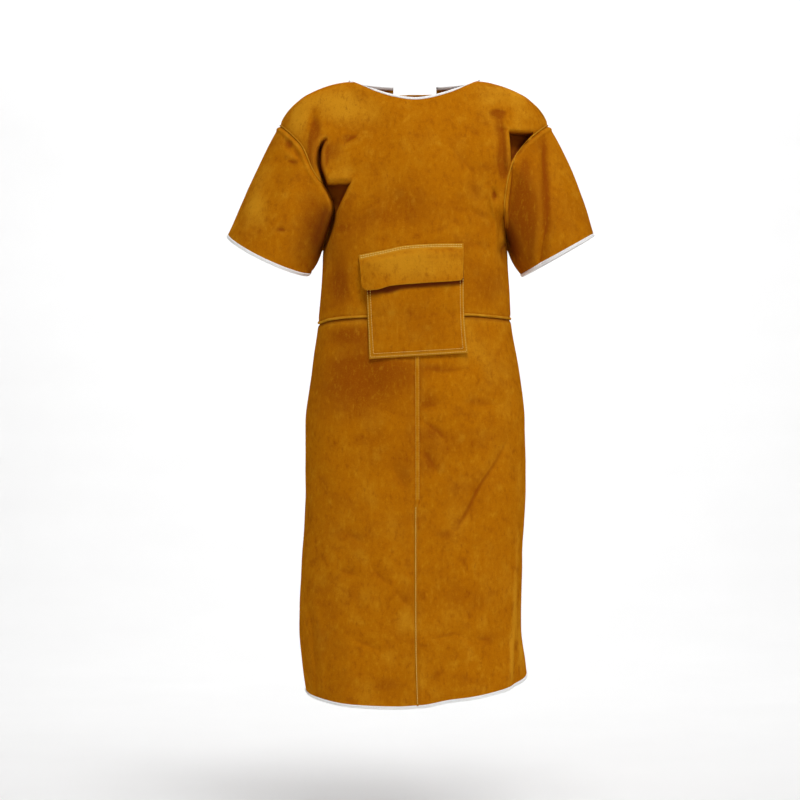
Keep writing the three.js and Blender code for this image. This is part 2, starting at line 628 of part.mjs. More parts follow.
// Neck binding, from the left back edge round the front to the right back edge
const lastRow = rowLevels.length - 1;
const backNeck = SIDES.map(([side, sign]) => {
  const normals = gridNormals(backGrids[side], false)[lastRow];
  const isNeck = (unused, i) => i > SHOULDER_COLUMNS;
  return {
    points: backGrids[side][lastRow].filter(isNeck),
    normals: normals.map((normal) => normal.multiplyScalar(sign)).filter(isNeck),
  };
});
const isFrontNeck = (unused, i) => Math.abs(places[i]) <= NECK_PLACE;
const frontNeck = {
  points: frontGrid[lastRow].filter(isFrontNeck),
  normals: gridNormals(frontGrid, false)[lastRow].filter(isFrontNeck),
};
addTape('neck_binding', bindingAlong(
  [...backNeck[0].points.slice().reverse(), ...frontNeck.points, ...backNeck[1].points],
  [...backNeck[0].normals.slice().reverse(), ...frontNeck.normals, ...backNeck[1].normals],
  false,
));

// Place of the outermost wall along Y, seen from the front (-1) or the back (1), or null beside it.
// Three rays close together also find the wall where one of them passes through a seam.
function surfaceY(walls, x, z, from) {
  const inward = new THREE.Vector3(0, -from, 0);
  const found = [-RAY_SPREAD, 0, RAY_SPREAD].flatMap((shift) => {
    const start = new THREE.Vector3(x + shift, from * RAY_START, z + shift);
    const hits = new THREE.Raycaster(start, inward).intersectObjects(walls);
    return hits.length && from * hits[0].point.y > 0 ? [hits[0].point.y] : [];
  });
  return found.length ? from * Math.max(...found.map((y) => from * y)) : null;
}

// Grid of a flat piece laid on walls. seat: height of its middle surface over them at each share of its size
function laidGrid(piece, walls, from, seat, edgeCut) {
  const tilt = THREE.MathUtils.degToRad(piece.tilt);
  const grid = [];
  for (let j = 0; j <= piece.rows; j += 1) {
    const line = [];
    for (let i = 0; i <= piece.columns; i += 1) {
      const across = i / piece.columns;
      const down = j / piece.rows;
      const p = (across - 0.5) * piece.width;
      const q = (0.5 - down) * piece.height + edgeCut(across, down);
      const x = piece.x + p * Math.cos(tilt) - q * Math.sin(tilt);
      const z = piece.z + p * Math.sin(tilt) + q * Math.cos(tilt);
      const y = surfaceY(walls, x, z, from);
      line.push(new THREE.Vector3(x, y === null ? NaN : y + from * seat(across, down), z));
    }
    grid.push(line);
  }
  return grid;
}

const noCut = () => 0;
const bow = (share) => Math.sin(Math.PI * share);

// Pocket: sewn close along its sides and bottom, full in the middle and at the mouth
const fronts = [chest, ...skirts, waistWelt, centreWelt];
const pocketSeat = (across, down) => {
  const sides = bow(across) ** POCKET_SIDE_POWER;
  const fullness = sides * Math.min(1, (1 - down) / POCKET_FULL_SHARE) ** POCKET_BOTTOM_POWER;
  return WALL / 2 + POCKET_SEAT + POCKET_ROOM * fullness;
};
addLeather('pocket_bag', wallAbout(laidGrid(POCKET, fronts, -1, pocketSeat, noCut), WALL));

// Flap: sewn along its top edge, lifted over the pocket mouth, with its lower left corner cut
const flapSeat = (across, down) => {
  const lift = THREE.MathUtils.smoothstep(down, 0, FLAP_RISE_SHARE);
  const middle = bow(THREE.MathUtils.clamp(across, FLAP_END, 1 - FLAP_END)) ** FLAP_SIDE_POWER;
  return WALL / 2 + FLAP_SEAT + lift * FLAP_LIFT * middle;
};
const flapCut = (across, down) => (across === 0 && down === 1 ? FLAP_CUT : 0);
addLeather('pocket_flap', wallAbout(laidGrid(FLAP, fronts, -1, flapSeat, flapCut), WALL));

// Straps laid on the back halves and drawn straight across the opening
for (const strap of STRAPS) {
  const piece = { x: 0, z: strap.z, width: 2 * strap.half_length, height: strap.width, tilt: 0,
    columns: STRAP_COLUMNS, rows: STRAP_ROWS };
  const seat = () => WALL / 2 + strap.seat;
  const grid = laidGrid(piece, backHalves, 1, seat, noCut);
  for (const line of grid) {
    const held = line.filter((point) => !Number.isNaN(point.y));
    const keys = held.map((point) => point.x);
    const values = held.map((point) => point.y);
    for (const point of line) point.y = curveThrough(keys, values, point.x);
  }
  const strapWall = addLeather(`${strap.name}_strap`, wallAbout(grid, WALL));
  const half = [strap.clasp_width / 2, strap.clasp_height / 2];
  const outline = new THREE.Shape();
  for (const [sx, sz, start] of [[1, 1, 0], [-1, 1, 1], [-1, -1, 2], [1, -1, 3]]) {
    const cornerX = sx * (half[0] - CLASP_CORNER);
    const cornerZ = sz * (half[1] - CLASP_CORNER);
    outline.absarc(cornerX, cornerZ, CLASP_CORNER, (start * Math.PI) / 2, ((start + 1) * Math.PI) / 2);
  }
  const body = { depth: CLASP_DEPTH, bevelEnabled: false, curveSegments: CLASP_CORNER_STEPS };
  const plate = new THREE.ExtrudeGeometry(outline, body);
  plate.rotateX(-Math.PI / 2);
  const seatY = CLASP_PROBES.map((share) => surfaceY([strapWall], 0, strap.z + share * strap.width, 1));
  plate.translate(0, Math.max(...seatY) + CLASP_SEAT, strap.z);
  add(`${strap.name}_clasp`, plate, CLASP_COLOUR, CLASP_ROUGHNESS);
}

export default apron;
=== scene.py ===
import math
from functools import lru_cache

import bpy
import numpy as np
from bpy.props import FloatProperty, FloatVectorProperty, PointerProperty
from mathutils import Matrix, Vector, noise
from mathutils.bvhtree import BVHTree


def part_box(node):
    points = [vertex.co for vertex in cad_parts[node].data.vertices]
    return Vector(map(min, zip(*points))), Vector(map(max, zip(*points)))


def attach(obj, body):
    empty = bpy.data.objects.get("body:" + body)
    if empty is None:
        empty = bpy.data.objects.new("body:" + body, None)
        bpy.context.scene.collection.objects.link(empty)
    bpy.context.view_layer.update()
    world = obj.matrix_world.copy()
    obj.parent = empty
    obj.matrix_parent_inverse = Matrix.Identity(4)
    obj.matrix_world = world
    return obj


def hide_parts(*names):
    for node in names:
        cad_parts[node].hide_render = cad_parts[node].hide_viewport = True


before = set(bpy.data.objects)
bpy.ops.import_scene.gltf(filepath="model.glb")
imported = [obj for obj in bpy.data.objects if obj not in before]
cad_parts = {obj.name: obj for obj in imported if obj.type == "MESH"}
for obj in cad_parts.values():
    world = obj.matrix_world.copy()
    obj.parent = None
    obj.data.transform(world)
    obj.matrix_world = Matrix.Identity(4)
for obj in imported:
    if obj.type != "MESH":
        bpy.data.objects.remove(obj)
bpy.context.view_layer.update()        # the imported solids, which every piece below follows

bl_info = {
    "name": "Leather Welding Apron",
    "version": (1, 0, 0),
    "blender": (4, 5, 0),
    "location": "View3D > Sidebar > Apron",
    "description": "Builds a short-sleeved split-leather welding apron with its pocket, seams and stitches",
    "category": "Object",
}

MM = 0.001
BODY = "root"
SIDES = (("left", -1), ("right", 1))
FRONT_WALLS = ("bodice_front", "skirt_left", "skirt_right")
BACK_WALLS = ("bodice_back_left", "bodice_back_right")

# Sections of the body in millimetres: drop below the shoulders, half widths, depths, half of the opening
DROP, LEFT, RIGHT, FRONT, REAR, OPENING = range(6)
FORM = np.array([
    (305, 174, 174, 132, 106, 48),
    (370, 177, 177, 132, 108, 51),
    (446, 182, 180, 129, 110, 54),
    (550, 196, 196, 137, 118, 60),
    (642, 207, 207, 144, 124, 64),
    (756, 207, 209, 148, 126, 68),
    (893, 212, 202, 150, 126, 72),
    (1029, 218, 200, 151, 125, 76),
    (1098, 213, 209, 151, 124, 78),
    (1165, 203, 215, 151, 123, 80),
], float)
SQUARENESS = 2.3      # 2 would make the sections round
WAIST_DROP = 446.0
HEM = np.array([      # drop of the hem at each angle round the body
    (-150, 1150), (-90, 1148), (-55, 1156), (-30, 1161), (-8, 1163), (0, 1160.5), (14, 1150), (30, 1144),
    (45, 1137), (60, 1128), (78, 1121), (90, 1116), (150, 1132),
], float)

# Levels of the bodice with the drops of its lower sections, and places of the guide lines across it
ARMPIT_LEVEL = 0.34
SIDE_LEVELS = ((0.0, WAIST_DROP), (0.18, 370.0), (ARMPIT_LEVEL, 305.0))
NECK_PLACE = 0.5
SHOULDER_PLACE = 0.78
BACK_SHOULDER_PLACE = 0.36
BACK_NECK_PLACE = 2 / 3
FRONT_SHOULDER_COLUMNS = 60
FRONT_NECK_COLUMNS = 72
BACK_SHOULDER_COLUMNS = 34
BACK_NECK_COLUMNS = 18
FRONT_CLOSENESS = 0.45      # columns of the skirt lie closer at the front, where the folds are
NECKLINE_RISE = 1.7

# Cross lines: level, rounding, middle point, neck point, shoulder point, arm (left x, right x, y, z)
CHEST = (
    (0.5, 0.0, (0, -131, -232), (112, -105, -232), (142, -90, -234), (154, 166, -80, -238)),
    (0.66, 0.0, (0, -123, -165), (116, -103, -156), (160, -95, -158), (192, 177, -86, -169)),
    (0.8, 0.0, (0, -110, -108), (119, -78, -76), (178, -70, -88), (211, 200, -66, -126)),
    (0.92, 0.5, (0, -93, -64), (121, -38, -8), (202, -32, -32), (246, 240, -30, -88)),
    (1.0, 1.0, (0, -78, -40), (121, -2, 3), (205, 1, -22), (256, 252, 0, -79)),
)
BACK = (
    (0.5, 0.0, (47, 104, -232), (112, 96, -232), (144, 86, -234), (162, 166, 74, -238)),
    (0.66, 0.0, (46, 102, -162), (116, 94, -150), (164, 87, -154), (192, 188, 80, -169)),
    (0.8, 0.0, (45, 94, -80), (119, 72, -62), (184, 66, -80), (214, 210, 62, -126)),
    (0.92, 0.5, (43, 80, -26), (121, 32, -1), (203, 30, -31), (247, 243, 29, -88)),
    (1.0, 1.0, (42, 66, -1), (121, -2, 3), (205, 1, -22), (256, 252, 0, -79)),
)

# Sleeves: cuff middle, half width, half depth, rise of the outer end, drop of the front, puff, fold
SLEEVES = {
    -1: ((275, -6, -322), 78, 80, 36, 18, 3, 0.32),
    1: ((269, -6, -324), 67, 88, 38, 2, 9, 0.32),
}
SLEEVE_LEAD = 0.35
SLEEVE_ROLL = 3.5
SLEEVE_SPREAD = 1.6      # rows of the sleeve lie closer at the armhole
UNDER_ARM = (6.0, 35.0)      # how far the underside stands off the body and how far it drops beside it
UNDER_SHARE = (0.7, 1.0)      # part of the way round where the underside starts and is whole
ARMHOLE_TURN = 24.0

# Folds of each panel's leather seen from the front: depth into the body, widths on the left and right of the
# way down it (below and above a path that runs to the right), and its path of (x, z, share of the depth)
FOLDS = {
    "bodice": (
        (34, 5.5, 6, ((-168, -114, 0.3), (-173, -119, 0.6), (-177, -135, 0.9), (-177, -157, 1),
                      (-171, -183, 1), (-162, -219, 1), (-155, -248, 1), (-161, -280, 0.9),
                      (-174, -317, 0.5))),
        (-2, 14, 6, ((-192, -100, 0.3), (-190, -125, 1), (-187, -163, 0.8))),
        (-4, 4, 22, ((-159, -187, 0.5), (-138, -188, 1), (-114, -188, 0.3))),
        (-4, 4, 16, ((-114, -192, 0.8), (-131, -225, 1), (-144, -260, 1), (-156, -312, 0.4))),
        (7, 10, 34, ((-172, -110, 0.4), (-166, -135, 1), (-156, -165, 0.5))),
        (4, 7, 11, ((-140, -133, 0.4), (-121, -116, 1), (-102, -107, 0.2))),
        (5, 12, 14, ((-194, -52, 0.3), (-191, -72, 1), (-186, -100, 0.4))),
        (5, 12, 18, ((-158, -318, 0.3), (-151, -355, 1), (-143, -400, 0.3))),
        (-4, 3, 20, ((168, -92, 0.7), (195, -92, 1), (226, -90, 0.3))),
        (-4, 9, 3, ((174, -100, 0.6), (176, -157, 1), (173, -200, 1), (169, -237, 1), (166, -280, 1),
                    (163, -317, 0.4))),
        (4, 16, 8, ((141, -62, 0.6), (156, -62, 1), (171, -61, 0.6))),
        (6, 17, 6, ((160, -76, 0.6), (162, -110, 0.7), (166, -150, 1), (168, -178, 0.8))),
        (6, 6, 5, ((145, -213, 0.6), (147, -221, 1), (148, -228, 0.4))),
        (-5, 5, 6, ((138, -205, 0.3), (143, -247, 1), (148, -281, 1), (155, -325, 0.4))),
        (10, 6, 7, ((170, -308, 0.8), (162, -323, 1), (171, -345, 0.3))),
        (3.4, 11, 18, ((56, -120, 0.2), (80, -146, 1), (104, -176, 0.8), (120, -222, 0.3))),
        (3.0, 10, 16, ((94, -192, 0.2), (110, -216, 1), (134, -252, 0.3))),
        (2.6, 7, 12, ((92, -246, 0.3), (114, -258, 1), (138, -266, 0.3))),
        (2.6, 7, 12, ((84, -290, 0.3), (108, -308, 1), (140, -328, 0.3))),
        (2.0, 6, 11, ((-112, -262, 0.2), (-70, -238, 1), (-30, -218, 0.1))),
        (2.0, 6, 11, ((-134, -287, 0.2), (-99, -268, 1), (-62, -250, 0.1))),
        (4, 34, 40, ((-60, -190, 0.5), (-30, -250, 1), (-40, -300, 0.4))),
    ),
    "sleeve": (
        (4, 9, 11, ((-250, -105, 0.3), (-238, -121, 1), (-227, -138, 0.3))),
        (3.5, 7, 10, ((-234, -122, 0.3), (-223, -139, 1), (-210, -157, 0.2))),
        (-3, 8, 8, ((-244, -130, 0.3), (-230, -144, 1), (-214, -155, 0.3))),
        (16, 26, 14, ((-164, -205, 0), (-174, -250, 0.5), (-184, -290, 1), (-196, -345, 1))),
        (2.5, 5, 6, ((-262, -281, 0.2), (-252, -284, 1), (-240, -287, 0.2))),
        (-2.5, 6, 5, ((-274, -300, 0.2), (-262, -284, 1), (-252, -268, 0.2))),
        (2.5, 5, 6, ((-237, -152, 0.2), (-228, -156, 1), (-216, -161, 0.2))),
        (-5, 24, 24, ((-277, -155, 0.2), (-298, -226, 1), (-320, -295, 0.5))),
        (12, 3, 24, ((183, -150, 0.4), (178, -200, 1), (174, -237, 1), (173, -280, 1), (172, -330, 1))),
        (4, 7, 9, ((206, -150, 0.2), (205, -193, 1), (203, -235, 0.7), (198, -335, 0.9))),
        (6, 8, 9, ((243, -98, 0.2), (242, -161, 0.9), (243, -217, 1), (236, -340, 0.8))),
        (-1.5, 17, 15, ((223, -128, 0.3), (224, -227, 1), (217, -340, 0.7))),
        (-5, 16, 18, ((261, -130, 0.3), (276, -216, 1), (294, -295, 0.6))),
    ),
    "skirt": (
        (5, 8, 14, ((178, -658, 0.2), (155, -705, 0.9), (122, -756, 1), (100, -793, 1), (70, -845, 0.3))),
        (2.6, 9, 14, ((20, -540, 0.3), (67, -545, 1), (118, -537, 0.3))),
        (2.6, 10, 15, ((8, -613, 0.5), (30, -607, 1), (54, -600, 0.2))),
        (3, 10, 17, ((80, -602, 0.2), (122, -609, 1), (168, -609, 0.2))),
        (3.6, 9, 17, ((4, -635, 0.6), (30, -651, 1), (62, -680, 0.2))),
        (3, 8, 14, ((8, -686, 0.5), (25, -710, 1), (46, -737, 0.2))),
        (2.4, 10, 12, ((-44, -719, 0.3), (-27, -745, 1), (-10, -768, 0.3))),
        (2.4, 11, 14, ((-150, -833, 0.2), (-120, -849, 1), (-86, -868, 0.2))),
        (2.2, 8, 10, ((-82, -904, 0.3), (-65, -923, 1), (-46, -943, 0.3))),
        (2, 9, 9, ((-145, -912, 0.3), (-122, -917, 1), (-100, -924, 0.3))),
        (2.6, 12, 12, ((-42, -944, 0.3), (-19, -968, 1), (3, -993, 0.3))),
        (2.2, 7, 12, ((-132, -1030, 0.2), (-98, -1047, 1), (-74, -1058, 1), (-24, -1083, 0.1))),
        (1.9, 6, 11, ((18, -1038, 0.2), (45, -1031, 0.8), (67, -1029, 1), (92, -1040, 1),
                      (116, -1058, 0.4))),
        (2.4, 9, 10, ((100, -1036, 0.4), (122, -1042, 1), (144, -1044, 0.3))),
        (2.4, 11, 11, ((-74, -1118, 0.3), (-47, -1124, 1), (-18, -1124, 0.3))),
        (-7, 14, 5, ((191, -880, 0.2), (187, -971, 0.9), (180, -1064, 1), (176, -1140, 1))),
        (3.5, 5, 12, ((200, -940, 0.2), (195, -1010, 1), (191, -1066, 1), (189, -1140, 1))),
        (5, 7, 11, ((-203, -950, 0.3), (-194, -1018, 1), (-186, -1074, 1), (-180, -1150, 0.8))),
        (-3, 9, 11, ((-190, -960, 0.3), (-180, -1045, 1), (-168, -1150, 0.8))),
        (-6, 34, 34, ((-120, -960, 0.3), (-124, -1070, 0.8), (-128, -1160, 1))),
        (-6, 30, 30, ((84, -940, 0.3), (90, -1060, 0.8), (96, -1150, 1))),
        (5, 34, 34, ((-30, -980, 0.3), (-32, -1080, 0.8), (-34, -1160, 1))),
        (5, 40, 34, ((-130, -500, 0.4), (-90, -560, 1), (-60, -640, 0.3))),
    ),
}
FOLD_SHARPNESS = 1.6
CREASE_DEPTH = 20.0      # a fold deeper than this is a crease with steep sides
CREASE_SHARPNESS = 3.5
CREASE_SHADE = (8.0, 26.0)
FOLD_FADE = 40.0
FOLD_REACH = 2.5      # widths beyond which a fold has no effect
PATH_STEPS = 5

# Pockets of leather folded in under the arms: three corners of (x, z, depth)
TUCKS = {
    "bodice": (
        ((-170, -194, 32), (-117, -195, 24), (-151, -264, 24)),
        ((174, -98, 36), (222, -98, 32), (177, -161, 28)),
    ),
}
TUCK_EDGE = (-1.0, 4.0)      # distances inside a tuck over which it falls to its depth
FOLD_WAVES = ((2.0, 31.0, 0.4), (0.8, 12.0, 2.1))      # wander of the folds: height, length, start

# Patches of each panel's front, darker above zero and lighter below: middle (x, z), half sizes, strength
# The darker ones are partly smoky tone of the suede and partly painted shade, the lighter ones partly rubbed
# nap and partly painted highlight
PATCHES = {
    "bodice": (
        (-120, -60, 50, 34, -0.4), (-20, -240, 85, 60, 0.5), (-120, -300, 46, 46, 0.3),
        (-140, -386, 22, 40, 0.9), (-187, -86, 12, 28, 1.2), (-192, -118, 10, 22, 0.9),
        (-191, -150, 8, 26, 1.1), (-124, -112, 15, 8, 0.8), (-154, -138, 20, 28, 0.6),
        (-170, -148, 8, 30, 1.2), (-131, -280, 15, 11, 0.4), (164, -166, 7, 18, 1.0),
        (155, -64, 18, 10, 1.2), (158, -88, 13, 26, 0.7), (163, -149, 11, 38, 1.2),
        (146, -221, 5, 8, 1.0), (86, -151, 15, 17, 0.35), (110, -207, 13, 23, 0.45),
        (121, -256, 22, 8, 0.35), (128, -385, 50, 50, 0.45), (110, -310, 30, 14, 0.3),
        (-131, -177, 26, 16, -0.6), (-60, -80, 80, 30, -0.2), (195, -70, 40, 24, -0.4),
        (-175, -40, 80, 34, -0.6), (-215, -80, 24, 30, -0.6), (165, -26, 70, 30, -0.5),
    ),
    "sleeve": (
        (250, -245, 40, 60, 0.3), (205, -224, 36, 130, 0.55), (204, -177, 7, 22, 0.8),
        (202, -222, 7, 40, 0.7), (191, -250, 6, 34, 0.6), (186, -292, 14, 46, 1.0),
        (216, -295, 8, 40, 0.5), (243, -210, 7, 90, 0.7), (238, -115, 26, 30, 0.35),
        (-236, -121, 8, 10, 0.9), (-225, -156, 9, 7, 0.7), (-242, -147, 7, 6, 0.5),
        (-253, -284, 16, 6, 0.5), (-195, -265, 30, 70, 0.5), (-298, -235, 16, 14, -0.5),
        (-290, -180, 30, 60, -0.5), (-300, -260, 30, 40, -0.4),
    ),
    "skirt": (
        (-122, -480, 40, 18, 0.7), (-80, -546, 105, 58, 0.75), (-125, -600, 80, 60, 0.4),
        (-130, -535, 26, 12, 0.3), (44, -542, 34, 9, 0.4), (26, -602, 20, 16, 0.45),
        (116, -603, 36, 12, 0.45), (30, -660, 26, 15, 0.5), (24, -710, 14, 22, 0.4),
        (-25, -748, 22, 22, 0.35), (56, -847, 22, 10, 0.4), (-120, -850, 44, 16, 0.3),
        (-64, -924, 18, 15, 0.4), (-122, -914, 22, 11, 0.35), (-16, -962, 22, 28, 0.4),
        (-48, -1122, 36, 17, 0.5), (130, -1040, 22, 15, 0.35), (-165, -1040, 36, 50, 0.3),
        (146, -892, 50, 60, 0.2), (60, -760, 60, 60, 0.2), (-110, -1060, 40, 20, 0.25),
        (-19, -1006, 24, 30, -0.55), (118, -500, 60, 38, -0.3), (158, -555, 38, 40, -0.35),
        (-50, -905, 30, 30, -0.3), (60, -1085, 60, 46, -0.2), (-70, -1070, 34, 24, -0.3),
        (189, -890, 5, 50, -0.6), (185, -985, 5, 55, -0.9), (178, -1080, 5, 60, -0.9),
        (198, -1060, 8, 80, -0.5), (0, -650, 30, 90, 0.3),
    ),
    "pocket_bag": ((0, -460, 80, 60, 0.35),),
    "pocket_flap": ((-10, -350, 110, 40, -0.8),),
}

# Places where a fold shuts out the light, written as the patches are
SHADES = {
    "bodice": ((168, -318, 10, 16, 0.7),),
    "sleeve": (
        (-176, -302, 20, 42, 1.3), (-164, -258, 13, 22, 1.0), (180, -310, 12, 34, 0.8),
    ),
}

# Wander of the sewn seams: height of the waist at each x, and place of the centre seam at each z
WAIST_WANDER = np.array([
    (-230, -8.5), (-182, -8.5), (-160, -3.5), (-120, -0.5), (-60, 1), (60, 3), (95, 4), (140, 2), (180, 0),
    (230, 0),
], float)
CENTRE_WANDER = np.array([
    (-1170, 4.2), (-1120, 2.4), (-1060, 0.8), (-950, 0.2), (-800, 0.2), (-780, 3.4), (-640, 3.2), (-440, 3),
], float)
WANDER_REACH = (50.0, 70.0)      # reach of the wander beside the waist and the centre seam
CENTRE_LEAD = 20.0      # height above the waist where the centre's wander starts
CENTRE_FRONT, WAIST_FRONT = (0, 60), (-60, 20)      # distances to the front over which each wander grows
CENTRE_CHANGE = (784.0, 796.0)      # drops over which the centre strip narrows
CENTRE_SLIM = 0.5      # width of the centre strip below that, as a share
SEAM_INSET = 1.2      # distance of a panel's edge from the middle of its seam

# Gentle unevenness of hung leather: size of the swells and their height, in millimetres
SWELLS = ((130.0, 2.2), (52.0, 0.8))
HOLLOWS = ((6, 1.4), (40, 8.0))      # rounds of smoothing and the depth that counts as full

# Pocket corners, with the bow of its right edge, and the flap's two long edges, as (x, z) seen from the front
POCKET_CORNERS = {"tl": (-91, -352), "tr": (87.5, -342), "bl": (-84.6, -524), "br": (96.5, -513)}
POCKET_BOW = 3.5
FLAP_TOP = (
    (0.0, -104, -333), (0.24, -60, -325), (0.48, -14, -316), (0.75, 38, -313), (1.0, 88, -312),
)
FLAP_BOTTOM = (
    (0.0, -99, -388), (0.025, -96, -394), (0.06, -90, -398), (0.16, -74, -397.5), (0.32, -44, -390),
    (0.64, 17, -385), (0.96, 84, -379), (1.0, 87.5, -374),
)
POCKET_SEAT = 1.6
POCKET_ROOM = 10.0
FLAP_SEAT = 0.6
POCKET_FULLNESS = (0.5, 0.4, 0.7)      # roundness of the sides, height of the foot and its roundness
FLAP_LIFT = 15.8
FLAP_RISE_SHARE = 0.3
FLAP_ENDS = (0.03, 0.35)      # share of the width where an end stops sinking, and roundness of the lift
FLAP_CURL = 1.5
FLAP_RIPPLE = (1.2, 9.0, 0.6)      # height, turns across and start of the lower edge's ripple
LAID_SPAN = 8.0      # distance to the spots beside a point that is laid on a wall
RAY_START = 1000.0
FLAP_SHADE = (12.5, 4.0)      # distances below the flap over which the pocket's shade grows
FLAP_DIP = (-46.0, 14.0, 5.0)      # middle, half width and depth of the shade's dip
WAIST_SHADE = (11.0, 5.0, 0.7)      # distances below the waist seam over which its shade grows, and its share
CREASE_SHARE = 0.7      # share of the crease colour where the light is shut out
RIM_TAPER = 0.4      # share of the leather's thickness at the outermost line of a cut edge
RIM_PALE = 1.0      # how pale a cut edge is

# Pale strips along the edges of the pocket and flap: edge, width and share
POCKET_BANDS = (("first_column", 8.6, 0.4), ("last_row", 7.0, 0.6), ("last_column", 5.0, 0.4))
FLAP_BANDS = (("first_row", 10.5, 0.9),)
FLAP_PALE = 0.45      # how pale the flap's cut edge is

# Straps on the back: name, height, half length, width, seat
STRAPS = (("neck", -24.0, 86.0, 26.0, 1.6), ("waist", -420.0, 112.0, 32.0, 0.8))

# Welts: their sizes are shares of the waist welt's radius
CENTRE_WELT = (1.7, 0.75)      # half width and half height
CENTRE_WELT_START = 2.6      # distance below the waist seam
CENTRE_WELT_FLAT = 0.4      # how far its colour nears that of the flat leather
ARMHOLE_WELT = 0.48
ARMHOLE_WELT_RISE = 0.5      # height over the seam
ARMHOLE_MIDDLE = (150, 0, -230)      # point that the armhole welts face away from
WAIST_STATIONS, ARMHOLE_STATIONS = 260, 180

# Folded tape: its lap on the leather, a place on its flat sides, its reach past the edge, depth of its fold
TAPE_LAP, TAPE_FLAT, TAPE_REACH, TAPE_FOLD = 1.0, 1.2, 5.2, 0.8
TAPE_SLOT_DEPTH, TAPE_PLAY = 0.9, 0.15      # how far its slot goes past the edge, and the play in it

# Rings of one stitch: place along it, rise and radius, as shares
STITCH_RINGS = ((-1.0, -0.5, 0.45), (-0.7, 0.35, 0.9), (0.0, 0.6, 1.0), (0.7, 0.35, 0.9), (1.0, -0.5, 0.45))
STITCH_SIDES = 5

# Distances of the sewn rows from the edges, and how far they stop short of the ends
POCKET_ROWS = (2.6, 8.6)
FLAP_ROWS = (2.4, 6.4)
ROW_STOP = 2.0
CENTRE_STOPS = ((60.0, 0.0), (8.0, 3.0))      # of the upper pair and of the lower single row
CENTRE_PAIR = (1.3, 0.45)      # distance from the middle and height, in radii of the welt
CENTRE_RISE = 0.7      # height of the single row
STRAP_ROW = 3.0
STRAP_ENDS = (3.0, 34.0)
STRAP_STOP = 4.0
BINDING_ROW = 0.6      # distance of the binding's row off the leather edge
BINDING_SINK = 0.2      # how deep its thread lies in the tape
POCKET_WEAR, CENTRE_WEAR, PAIR_WEAR = 0.55, 0.3, 0.95      # how far the thread has browned

# Clasps, in metres: corner rounding, steps of the raised back as (inset, rise), softened edge
CLASP_CORNER = 0.004
CLASP_STEPS = ((0.0012, 0.0008), (0.0014, -0.0010), (0.0008, 0.0))
CLASP_EDGE = 0.0004
CLASP_SMOOTH = math.radians(40)
ALIGNED = 0.9      # how closely a face looks back to count as the back one

# Stage, in metres: a pale room whose floor rises into its walls, soft lamps and the camera
ROOM_SIZE, ROOM_HEIGHT, ROOM_COVE = 18.0, 6.0, 2.0
ROOM_PLACE = (0, -4.0, -1.48)
FLOOR_SHADE = 0.96
WORLD_LIGHT = 0.09
WALL_LAMP = (3.0, 76)
LAMPS = (
    ("key", (0.7, -3.5, 4.6), (0, 0, -0.5), 1.9, 260),
    ("fill", (2.8, -3.6, 0.6), (0, 0, -0.6), 1.6, 18),
    ("backdrop", (0, 2.6, 3.2), (0, 4.4, -0.8), 3.0, 140),
    ("left wall", (-6.2, -2.5, 3.4), (-8.6, -2.5, -0.9), *WALL_LAMP),
    ("right wall", (6.2, -2.5, 3.4), (8.6, -2.5, -0.9), *WALL_LAMP),
    ("front wall", (0, -9.8, 3.4), (0, -12.4, -0.9), *WALL_LAMP),
)
CAMERA_PLACE = (-0.0285, -4.2, -0.6)
CAMERA_LENS = 99.5
SENSOR_WIDTH = 36

# Size of each flat cut: width, length and area, in metres
CUTS = {
    "bodice_front": (0.56, 0.48, 0.205),
    "bodice_back": (0.26, 0.49, 0.082),
    "skirt_left": (0.48, 0.72, 0.34),
    "skirt_right": (0.48, 0.72, 0.33),
    "sleeve": (0.52, 0.24, 0.09),
    "pocket_bag": (0.181, 0.176, 0.031),
    "pocket_flap": (0.193, 0.07, 0.0132),
    "neck_strap": (0.175, 0.026, 0.0045),
    "waist_strap": (0.226, 0.032, 0.0072),
}


def length_field(name, description, default):
    return FloatProperty(name=name, description=description, default=default, unit="LENGTH")


def colour_field(name, description, default):
    return FloatVectorProperty(name=name, description=description, default=default, subtype="COLOR")


class ApronSizes(bpy.types.PropertyGroup):
    """Sizes of the leather, seams and stitches."""

    thickness: length_field("Leather", "Thickness of the split leather", 0.002)
    edge: length_field("Cut edge", "Rounding of a cut leather edge", 0.0006)
    welt: length_field("Welt", "Radius of the rolled seam welts", 0.0023)
    tape: length_field("Binding", "Half thickness of the folded edge binding", 0.002)
    stitch: length_field("Stitch", "Length of one stitch", 0.0036)
    pitch: length_field("Stitch pitch", "Distance from stitch to stitch", 0.0046)
    thread: length_field("Thread", "Radius of the sewing thread", 0.00075)


